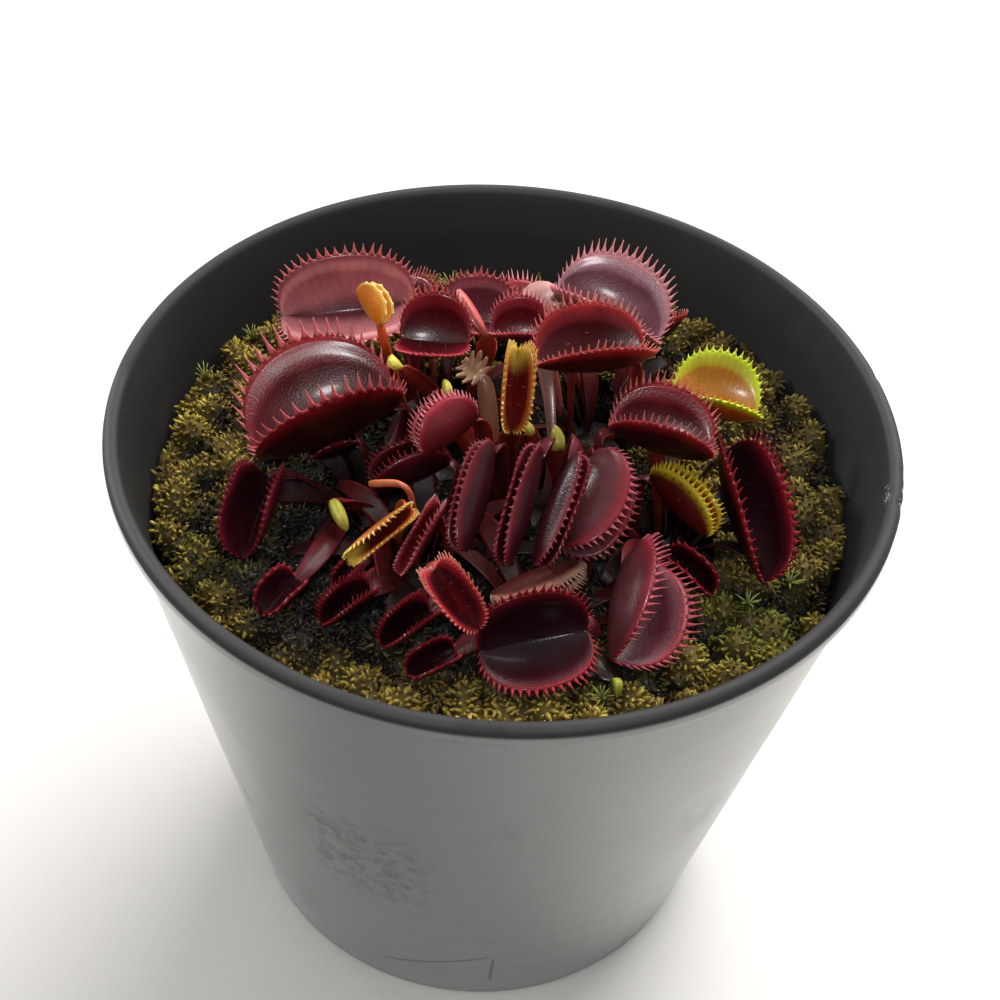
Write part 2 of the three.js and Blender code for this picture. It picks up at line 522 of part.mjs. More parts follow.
const LEAVES = {
  back_left_mauve: {
    ...BIG, tone: 'mauve', from: 'back_left',
    base: seenAt(412, 306, 76), tip: seenAt(282, 320, 74.5), faces: facing(-0.05, -0.58, 0.81),
    width: 7.8, gape: 88, slot: 95, lead: 2,
  },
  left_big: {
    ...BIG, tone: 'maroon', from: 'left',
    base: seenAt(402, 409, 74.5), tip: seenAt(264, 468, 70.5), faces: seenWay(-0.12, 0.8, 0.6),
    width: 12, gape: 74, slot: 70,
  },
  centre_dark: {
    ...PLAIN, tone: 'maroon', from: 'back_left',
    base: seenAt(402, 343, 78), tip: seenAt(470, 348, 78.5), faces: facing(-0.05, -0.35, 0.93),
    width: 6.2, gape: 84, slot: 258, lead: 1,
  },
  back_pink: {
    ...PLAIN, tone: 'mauve', from: 'back_right',
    base: seenAt(514, 326, 72.5), tip: seenAt(436, 321, 73), faces: facing(0, -0.42, 0.9),
    width: 6.6, gape: 74, slot: 190,
  },
  pink_slender: {
    ...BUD, tone: 'red', from: 'back_left',
    base: seenAt(486, 338, 77.5), tip: seenAt(458, 290, 80.5), faces: seenWay(-0.3, 0.2, 0.9),
    width: 2.2, slot: 20, lead: 1.5,
  },
  centre_hairy: {
    ...CLOSED, tone: 'red', from: 'middle',
    base: seenAt(480, 422, 77.5), tip: seenAt(426, 458, 76), faces: seenWay(-0.55, 0.7, 0.45),
    width: 5, gape: 16, slot: 202, lead: 2,
  },
  centre_shade: {
    ...CLOSED, tone: 'maroon', from: 'front_left',
    base: seenAt(450, 466, 71.5), tip: seenAt(378, 494, 69.5), faces: seenWay(-0.4, 0.6, 0.7),
    width: 5.2, gape: 28, slot: 80,
  },
  upright_orange: {
    ...PLAIN, tone: 'orange', from: 'middle',
    base: seenAt(509, 432, 77.5), tip: seenAt(516, 350, 83), faces: seenWay(0.15, 0, 1),
    width: 4.6, gape: 40, slot: 118, lead: 2,
  },
  magenta_small: {
    ...PLAIN, tone: 'red', from: 'back_right',
    base: seenAt(546, 338, 78), tip: seenAt(494, 336, 78), faces: facing(-0.25, -0.25, 0.93),
    width: 5, gape: 66, slot: 222,
  },
  back_right_purple: {
    ...BIG, tone: 'mauve', from: 'middle',
    base: seenAt(552, 298, 77.5), tip: seenAt(652, 350, 74.5), faces: seenWay(0.35, 0.6, 0.72),
    width: 8.8, gape: 80, stalk: 6.4, slot: 42,
  },
  back_right_red: {
    ...HALF, tone: 'red', from: 'back_right',
    base: seenAt(642, 364, 80), tip: seenAt(535, 372, 81), faces: seenWay(0, 0.72, 0.7),
    width: 7.4, gape: 72, slot: 290, lead: 1.5,
  },
  right_yellow: {
    ...PLAIN, tone: 'yellow', from: 'right',
    base: seenAt(672, 401, 74.5), tip: seenAt(754, 422, 72.5), faces: seenWay(0.15, 0.72, 0.68),
    width: 7.2, gape: 80, teeth: 0.9, slot: 105, rise: 1,
  },
  right_centre: {
    ...HALF, tone: 'maroon', from: 'right',
    base: seenAt(610, 436, 77), tip: seenAt(706, 466, 75), faces: seenWay(0.2, 0.75, 0.6),
    width: 7.4, gape: 66, slot: 205,
  },
  right_yellow_rim: {
    ...CLOSED, tone: 'orange', from: 'right',
    base: seenAt(646, 483, 72.5), tip: seenAt(704, 540, 70.5), faces: seenWay(0.5, 0.6, 0.6),
    width: 4.6, gape: 18, slot: 165,
  },
  right_big: {
    ...HALF, tone: 'maroon', from: 'right',
    base: seenAt(718, 462, 69), tip: seenAt(758, 590, 66.5), faces: seenWay(0.3, 0.1, 0.95),
    width: 7.6, gape: 46, slot: 70,
  },
  left_low: {
    ...CLOSED, tone: 'maroon', from: 'left',
    base: seenAt(270, 482, 70), tip: seenAt(243, 564, 67.8), faces: seenWay(-0.1, 0, 1),
    width: 6.8, gape: 40, slot: 195,
  },
  left_green_tip: {
    ...BUD, tone: 'yellow', from: 'left',
    base: seenAt(334, 502, 71), tip: seenAt(348, 530, 70), faces: seenWay(0, 0.2, 1),
    width: 2.2, stalk: 3.6, slot: 306, lead: 1,
  },
  orange_slender: {
    ...CLOSED, tone: 'orange', from: 'front_left',
    base: seenAt(410, 508, 77), tip: seenAt(346, 558, 74), faces: seenWay(-0.2, -0.3, 0.9),
    width: 2.9, gape: 30, slot: 150, lead: 2,
  },
  red_slender: {
    ...CLOSED, tone: 'red', from: 'front_left',
    base: seenAt(438, 510, 72), tip: seenAt(400, 578, 69.5), faces: seenWay(-0.3, -0.2, 0.9),
    width: 2.8, gape: 30, slot: 330, lead: 0.6,
  },
  red_fold: {
    ...PLAIN, tone: 'red', from: 'front',
    base: seenAt(434, 574, 75.5), tip: seenAt(480, 632, 74), faces: seenWay(0.1, 0.1, 1),
    width: 3.8, gape: 60, slot: 200,
  },
  front_left_hanging: {
    ...CLOSED, tone: 'maroon', from: 'middle',
    base: seenAt(498, 450, 79.5), tip: seenAt(470, 554, 74), faces: seenWay(-0.75, 0, 0.6),
    width: 3.9, gape: 14, slot: 238, lead: 3,
  },
  front_mid_hanging: {
    ...CLOSED, tone: 'maroon', from: 'middle',
    base: seenAt(544, 452, 80), tip: seenAt(512, 566, 73.5), faces: seenWay(-0.6, 0, 0.8),
    width: 3.7, gape: 14, slot: 270,
  },
  front_right_hanging: {
    ...CLOSED, tone: 'maroon', from: 'middle',
    base: seenAt(568, 456, 80.5), tip: seenAt(530, 562, 74), faces: seenWay(0.7, 0, 0.7),
    width: 3.7, gape: 14, slot: 308,
  },
  plum_oval: {
    ...CLOSED, tone: 'mauve', from: 'middle',
    base: seenAt(589, 449, 78), tip: seenAt(546, 541, 73), faces: seenWay(0.85, -0.3, 0.35),
    width: 7.2, gape: 28, slot: 342, lead: 0.6,
  },
  front_pale_edge: {
    ...CLOSED, tone: 'red', from: 'front',
    base: seenAt(574, 558, 70), tip: seenAt(490, 590, 69), faces: seenWay(-0.1, -0.7, 0.7),
    width: 3.8, gape: 20, slot: 30,
  },
  front_big: {
    ...HALF, tone: 'maroon', from: 'front',
    base: seenAt(586, 632, 70), tip: seenAt(476, 650, 69.5), faces: seenWay(0, 0.05, 1),
    width: 6.6, gape: 96, slot: 328, rise: 1.05,
  },
  front_right_round: {
    ...HALF, tone: 'maroon', from: 'right',
    base: seenAt(617, 560, 70.5), tip: seenAt(602, 662, 69.5), faces: seenWay(0.75, 0, 0.62),
    width: 8.2, gape: 54, slot: 250,
  },
  front_green: {
    ...BUD, tone: 'green', from: 'front',
    base: seenAt(611, 677, 68.7), tip: seenAt(616, 698, 68.2), faces: seenWay(0.3, 0, 1),
    width: 1.8, slot: 300, lead: 1, rise: 0.8,
  },
  low_left_red: {
    ...SMALL, tone: 'maroon', from: 'left',
    base: seenAt(296, 584, 70), tip: seenAt(262, 616, 69.5), faces: seenWay(0, 0.3, 1),
    width: 4, gape: 50, slot: 245,
  },
  low_left_shade: {
    ...PLAIN, tone: 'maroon', from: 'front_left',
    base: seenAt(368, 596, 69), tip: seenAt(324, 628, 68.5), faces: seenWay(-0.2, 0.3, 1),
    width: 4, gape: 40, slot: 230,
  },
  low_front_shade: {
    ...PLAIN, tone: 'maroon', from: 'front_left',
    base: seenAt(430, 616, 70), tip: seenAt(382, 646, 69.5), faces: seenWay(-0.2, 0.2, 1),
    width: 4.2, gape: 40, slot: 280, rise: 0.65,
  },
  young_oval: {
    ...SMALL, tone: 'orange', from: 'back_left',
    base: seenAt(380, 329, 81.5), tip: seenAt(356, 292, 83.5), faces: seenWay(0.75, 0.3, 0.5),
    width: 3.2, gape: 20, slot: 225, lead: 1,
  },
  young_tiny: {
    ...BUD, tone: 'yellow', from: 'back_left',
    base: seenAt(402, 368, 80.5), tip: seenAt(392, 354, 81.5), faces: seenWay(-0.8, 0.2, 0.5),
    width: 1.5, slot: 295, lead: 1,
  },
  bud_yellow: {
    ...BUD, tone: 'yellow', from: 'middle',
    base: seenAt(448, 400, 76), tip: seenAt(446, 380, 78), faces: seenWay(0.3, 0, 1),
    width: 1.6, slot: 175, lead: 1,
  },
  bud_centre_left: {
    ...BUD, tone: 'yellow', from: 'middle',
    base: seenAt(527, 434, 73), tip: seenAt(523, 420, 75), faces: seenWay(0.3, 0, 1),
    width: 1.6, slot: 75, lead: 1,
  },
  bud_centre_right: {
    ...BUD, tone: 'yellow', from: 'middle',
    base: seenAt(552, 446, 73), tip: seenAt(553, 424, 76), faces: seenWay(0.3, 0, 1),
    width: 2.4, slot: 10, lead: 1,
  },
  back_low_left: {
    ...PLAIN, tone: 'maroon', from: 'back_left',
    base: [-12, 21, 70], tip: [-16, 27.5, 70.5], faces: facing(-0.4, 0.85, 0.35),
    width: 5, gape: 50, slot: 160, lead: 1,
  },
  back_low_middle: {
    ...PLAIN, tone: 'red', from: 'back_right',
    base: [-3, 25, 69.5], tip: [4, 26, 69.5], faces: facing(0, 0.93, 0.35),
    width: 5, gape: 56, slot: 100, rise: 0.9,
  },
  back_low_right: {
    ...PLAIN, tone: 'maroon', from: 'back_right',
    base: [15.5, 20.5, 69.5], tip: [20.5, 26, 70], faces: facing(0.3, 0.3, 0.9),
    width: 5, gape: 50, slot: 40,
  },
  low_mid_dark: {
    ...SMALL, tone: 'maroon', from: 'left',
    base: seenAt(360, 566, 67.6), tip: seenAt(334, 588, 67.2), faces: seenWay(0, 0.5, 1),
    width: 2.8, gape: 36, slot: 272,
  },
  low_front_dark: {
    ...SMALL, tone: 'maroon', from: 'front',
    base: seenAt(452, 654, 69), tip: seenAt(406, 674, 68.5), faces: seenWay(0, 0.4, 1),
    width: 3.4, gape: 50, slot: 236, rise: 1,
  },
  left_mid_dark: {
    ...SMALL, tone: 'maroon', from: 'left',
    base: seenAt(356, 444, 68), tip: seenAt(312, 458, 67.5), faces: seenWay(-0.1, 0.5, 1),
    width: 3.8, gape: 36, slot: 110,
  },
  right_low_dark: {
    ...SMALL, tone: 'maroon', from: 'right',
    base: seenAt(668, 560, 68), tip: seenAt(712, 596, 67.5), faces: seenWay(0.2, 0.4, 1),
    width: 3.8, gape: 40, slot: 312,
  },
  dry_blade: {
    ...DRY, tone: 'pale', from: 'middle',
    base: seenAt(486, 380, 74.5), tip: seenAt(464, 360, 75), faces: seenWay(-0.3, 0.3, 1),
    width: 2.6, gape: 120, slot: 147, lead: 1, stalk: 2.2,
  },
};

// ---------------------------------------------------------------- materials and the group
const material = (color, roughness) => new THREE.MeshStandardMaterial({ color, roughness, metalness: 0 });
const PLASTIC = material(0x1b1a1a, 0.35);
const PEAT = material(0x2c2018, 0.95);
const MOSS = material(0x7c7a34, 0.9);
const RHIZOME = material(0xd9cfae, 0.6);
const TONES = {
  maroon: material(0x5c1a2a, 0.4),
  mauve: material(0x8d5468, 0.45),
  red: material(0x8e1f2f, 0.4),
  orange: material(0xb5582c, 0.45),
  yellow: material(0xb9b23a, 0.45),
  green: material(0x5f7030, 0.5),
  pale: material(0xc9b49a, 0.7),
};

const group = new THREE.Group();
function place(name, geometry, look) {
  const mesh = new THREE.Mesh(geometry, look);
  mesh.name = name;
  group.add(mesh);
}

place('pot', makePot(), PLASTIC);
place('growing_medium', makeMedium(), PEAT);
place('moss_layer', makeMoss(), MOSS);
Object.entries(RHIZOMES).forEach(([name, spot], i) => {
  place(`rhizome_${name}`, makeRhizome(spot, i + 1), RHIZOME);
});
Object.entries(LEAVES).forEach(([name, leaf], i) => {
  place(`leaf_${name}`, makeLeaf({ seed: i + 1, ...leaf }), TONES[leaf.tone]);
});

export default group;
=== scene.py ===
"""A potted Venus flytrap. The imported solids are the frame, and each of them is replaced by a finer
piece of the same form: a moulded pot, packed medium, moss heads, rhizomes and toothed traps."""

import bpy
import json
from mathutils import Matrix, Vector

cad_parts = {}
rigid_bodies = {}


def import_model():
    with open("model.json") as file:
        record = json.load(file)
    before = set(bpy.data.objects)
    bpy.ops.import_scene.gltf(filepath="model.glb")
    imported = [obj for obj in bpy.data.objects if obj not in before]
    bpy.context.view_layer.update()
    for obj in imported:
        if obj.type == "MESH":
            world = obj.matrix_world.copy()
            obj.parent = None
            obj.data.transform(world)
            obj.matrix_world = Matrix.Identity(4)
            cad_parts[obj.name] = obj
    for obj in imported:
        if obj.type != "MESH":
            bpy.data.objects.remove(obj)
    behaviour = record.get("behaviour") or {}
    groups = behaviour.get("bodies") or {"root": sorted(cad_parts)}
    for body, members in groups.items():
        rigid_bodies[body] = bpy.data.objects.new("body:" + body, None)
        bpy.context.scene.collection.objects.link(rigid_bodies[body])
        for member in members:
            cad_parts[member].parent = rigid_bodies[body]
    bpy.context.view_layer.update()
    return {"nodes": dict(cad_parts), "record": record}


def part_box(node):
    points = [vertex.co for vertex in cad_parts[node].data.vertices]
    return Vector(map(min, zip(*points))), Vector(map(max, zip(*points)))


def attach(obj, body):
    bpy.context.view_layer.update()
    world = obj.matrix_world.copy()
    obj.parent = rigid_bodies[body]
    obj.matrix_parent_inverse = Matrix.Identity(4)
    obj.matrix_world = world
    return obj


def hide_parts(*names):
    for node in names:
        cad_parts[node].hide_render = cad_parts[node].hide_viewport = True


bl_info = {
    "name": "Potted Venus Flytrap",
    "version": (1, 0, 0),
    "blender": (4, 5, 0),
    "location": "View3D > Sidebar > Flytrap",
    "description": "Builds a clump of Venus flytraps in a round nursery pot",
    "category": "Add Mesh",
}

import json
import math
import random

import bmesh
import bpy
import numpy as np
from mathutils import Matrix, Vector, noise

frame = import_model()
MM = 0.001
BODY = "root"


# ------------------------------------------------------------------ sizes, in millimetres
POT_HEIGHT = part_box("pot")[1].z / MM
RIM_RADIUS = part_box("pot")[1].x / MM
BASE_RADIUS = 31.9
WALL = 1.2
LIP_HEIGHT = 2.6
LIP_PROUD = 0.6
FLOOR = 1.6
FOOT_LIFT = 1.5
FOOT_WIDTH = 3.0
DRAIN_RADIUS = 3
DRAIN_RING = 17
DRAIN_COUNT = 6

CLEAR = 0.35
MEDIUM_TOP = 58

RHIZOME_RADIUS = 3.6
RHIZOME_DEPTH = 15
RHIZOME_TOP = MEDIUM_TOP + 1.5
ROOTS = 3
ROOT_RADIUS = 0.6
ROOT_OFFSET = 1.5
ROOT_START = 5
ROOT_LENGTH = (21, 27)
RHIZOMES = {
    "middle": (3, 0),
    "left": (-15, -3),
    "right": (20, -6),
    "back_left": (-9, 14),
    "back_right": (11, 13),
    "front": (5, -20),
    "front_left": (-8, -13),
}

BLADE = 0.64
END_ANGLE = math.radians(105)
HINGE_ARCH = 0.08
BAND = 0.78
STALK_THICK = 0.8
STALK_WIDTH = 2.6
STALK_FOOT = 1.1
STALK_SHOULDER = 1.7
STALK_RING = 0.7
STALK_SPLAY = 0.35
JOIN_ALONG = 0.07
JOIN_RISE = 0.05


# ------------------------------------------------------------------ colours
def tint(red, green, blue):
    """A linear colour from red, green and blue of 0 to 255 as a screen shows them."""
    def linear(c):
        c /= 255
        return c / 12.92 if c <= 0.04045 else ((c + 0.055) / 1.055) ** 2.4
    return (linear(red), linear(green), linear(blue), 1.0)


# Each look gives a leaf's colours: the inside near the hinge and inside the bowl, the band inside
# the margin, the margin itself, the teeth, the outside of the lobes and the stalk.
LOOKS = {
    "mauve": dict(hinge=tint(100, 44, 54), bowl=tint(182, 114, 118), band=tint(204, 140, 142),
                  rim=tint(162, 82, 84), teeth=tint(212, 126, 130), outside=tint(92, 42, 42),
                  stalk=tint(126, 62, 60), glow=0.3),
    "lilac": dict(hinge=tint(84, 38, 52), bowl=tint(110, 62, 74), band=tint(152, 108, 122),
                  rim=tint(196, 128, 134), teeth=tint(224, 152, 160), outside=tint(120, 72, 76),
                  stalk=tint(178, 134, 128), glow=0.35),
    "pink": dict(hinge=tint(96, 36, 46), bowl=tint(122, 62, 76), band=tint(164, 104, 118),
                 rim=tint(150, 68, 76), teeth=tint(200, 116, 120), outside=tint(140, 78, 78),
                 stalk=tint(140, 62, 56), glow=0.35),
    "wine": dict(hinge=tint(66, 8, 16), bowl=tint(80, 10, 22), band=tint(112, 14, 30),
                 rim=tint(140, 24, 32), teeth=tint(206, 108, 112), outside=tint(50, 17, 14),
                 stalk=tint(104, 30, 34), glow=0.2),
    "plum": dict(hinge=tint(46, 8, 15), bowl=tint(48, 9, 18), band=tint(64, 13, 24),
                 rim=tint(104, 22, 34), teeth=tint(128, 42, 52), outside=tint(52, 15, 22),
                 stalk=tint(92, 28, 36), glow=0.2),
    "night": dict(hinge=tint(36, 5, 11), bowl=tint(38, 6, 14), band=tint(54, 8, 19),
                  rim=tint(116, 14, 26), teeth=tint(160, 44, 58), outside=tint(34, 9, 13),
                  stalk=tint(80, 22, 28), glow=0.15),
    "satin": dict(hinge=tint(64, 18, 28), bowl=tint(66, 26, 34), band=tint(82, 34, 44),
                  rim=tint(132, 38, 50), teeth=tint(170, 74, 88), outside=tint(84, 40, 46),
                  stalk=tint(124, 46, 50), glow=0.25),
    "scarlet": dict(hinge=tint(106, 10, 14), bowl=tint(70, 12, 20), band=tint(112, 20, 28),
                    rim=tint(158, 30, 34), teeth=tint(216, 122, 112), outside=tint(66, 16, 16),
                    stalk=tint(146, 58, 42), glow=0.3),
    "magenta": dict(hinge=tint(112, 20, 32), bowl=tint(100, 18, 30), band=tint(136, 42, 54),
                    rim=tint(164, 48, 62), teeth=tint(222, 132, 138), outside=tint(118, 34, 42),
                    stalk=tint(134, 50, 48), glow=0.3),
    "ember": dict(hinge=tint(124, 26, 20), bowl=tint(104, 24, 24), band=tint(152, 70, 30),
                  rim=tint(188, 112, 44), teeth=tint(222, 186, 96), outside=tint(156, 78, 38),
                  stalk=tint(166, 74, 40), glow=0.35),
    "lime": dict(hinge=tint(192, 44, 24), bowl=tint(184, 130, 46), band=tint(184, 182, 42),
                 rim=tint(190, 212, 36), teeth=tint(206, 226, 60), outside=tint(188, 86, 40),
                 stalk=tint(146, 54, 38), glow=0.45),
    "gold_rim": dict(hinge=tint(60, 12, 14), bowl=tint(96, 24, 16), band=tint(160, 88, 22),
                     rim=tint(196, 170, 30), teeth=tint(214, 190, 54), outside=tint(86, 18, 14),
                     stalk=tint(104, 32, 30), glow=0.25),
    "honey": dict(hinge=tint(206, 78, 24), bowl=tint(220, 112, 28), band=tint(230, 160, 44),
                  rim=tint(236, 192, 76), teeth=tint(242, 224, 166), outside=tint(224, 130, 36),
                  stalk=tint(176, 72, 40), glow=0.4),
    "shoot": dict(hinge=tint(190, 96, 44), bowl=tint(196, 178, 64), band=tint(198, 196, 76),
                  rim=tint(206, 206, 92), teeth=tint(224, 216, 128), outside=tint(198, 186, 70),
                  stalk=tint(132, 38, 42), glow=0.4),
    "rose": dict(hinge=tint(184, 78, 60), bowl=tint(186, 76, 70), band=tint(196, 88, 82),
                 rim=tint(206, 116, 108), teeth=tint(226, 160, 150), outside=tint(192, 82, 78),
                 stalk=tint(168, 76, 58), glow=0.4),
    "leaf_green": dict(hinge=tint(50, 38, 20), bowl=tint(78, 84, 36), band=tint(104, 112, 44),
                       rim=tint(158, 164, 60), teeth=tint(180, 180, 76), outside=tint(64, 66, 30),
                       stalk=tint(46, 34, 22), glow=0.2),
    "fringe": dict(hinge=tint(66, 18, 20), bowl=tint(84, 28, 26), band=tint(124, 68, 54),
                   rim=tint(206, 158, 134), teeth=tint(228, 188, 164), outside=tint(92, 36, 34),
                   stalk=tint(100, 38, 34), glow=0.25),
    "straw": dict(hinge=tint(170, 130, 98), bowl=tint(196, 154, 120), band=tint(204, 164, 132),
                  rim=tint(214, 176, 146), teeth=tint(216, 184, 156), outside=tint(186, 144, 112),
                  stalk=tint(150, 106, 82), glow=0.3),
}

# ------------------------------------------------------------------ view
# The leaves are set out on a view of the clump from the front and above.
CAMERA_PLACE = (0.0, -130.85, 195.026)
CAMERA_RIGHT = (0.99675, 0.05740, 0.05651)
CAMERA_UP = (-0.08055, 0.71027, 0.69930)
CAMERA_LENS = 55.8
SENSOR_WIDTH = 36
VIEW_SIZE = 1000
VIEW_MIDDLE = VIEW_SIZE / 2
VIEW_REACH = VIEW_SIZE * CAMERA_LENS / SENSOR_WIDTH
VIEW_RIGHT, VIEW_UP = np.array(CAMERA_RIGHT), np.array(CAMERA_UP)
VIEW_AHEAD = np.cross(VIEW_UP, VIEW_RIGHT)
PLACE_STEP = 0.5
TURN_STEP = 5


def nearest(value, step):
    return math.floor(value / step + 0.5) * step


def seen_at(across, down, height):
    """The point that lies at that height behind a spot of the view, to half a millimetre."""
    sight = VIEW_AHEAD * VIEW_REACH + VIEW_RIGHT * (across - VIEW_MIDDLE) + VIEW_UP * (VIEW_MIDDLE - down)
    eye = np.array(CAMERA_PLACE)
    return tuple(nearest(value, PLACE_STEP) for value in eye + sight * (height - eye[2]) / sight[2])


def facing(x, y, z):
    """The azimuth and height, in degrees, of a direction along the part's own axes."""
    angles = math.atan2(y, x), math.asin(z / math.hypot(x, y, z))
    return tuple(nearest(math.degrees(angle), TURN_STEP) for angle in angles)


def seen_way(right, up, near):
    """The same for a direction to the right, up and towards the eye in the view."""
    return facing(*(VIEW_RIGHT * right + VIEW_UP * up - VIEW_AHEAD * near))


# ------------------------------------------------------------------ the leaves
# A leaf's base and tip are the two ends of its hinge. faces is the way the trap opens, its
# azimuth from +X and its height over the level, in degrees. width is from hinge to margin, gape
# the angle between the lobes and cup how far each lobe curls in. root names the rhizome, and
# slot the side of it that the stalk leaves. teeth is their length and count their number.
BIG = dict(cup=30, teeth=2.0, count=28)
HALF = dict(cup=32, teeth=1.8, count=27)
PLAIN = dict(cup=34, teeth=1.6, count=23)
CLOSED = dict(cup=56, gape=16, teeth=1.1, count=25)
SMALL = dict(cup=50, gape=30, teeth=0.8, count=10)
DRY = dict(cup=40, teeth=0.1, count=0)
BUD = dict(fat=0.36)

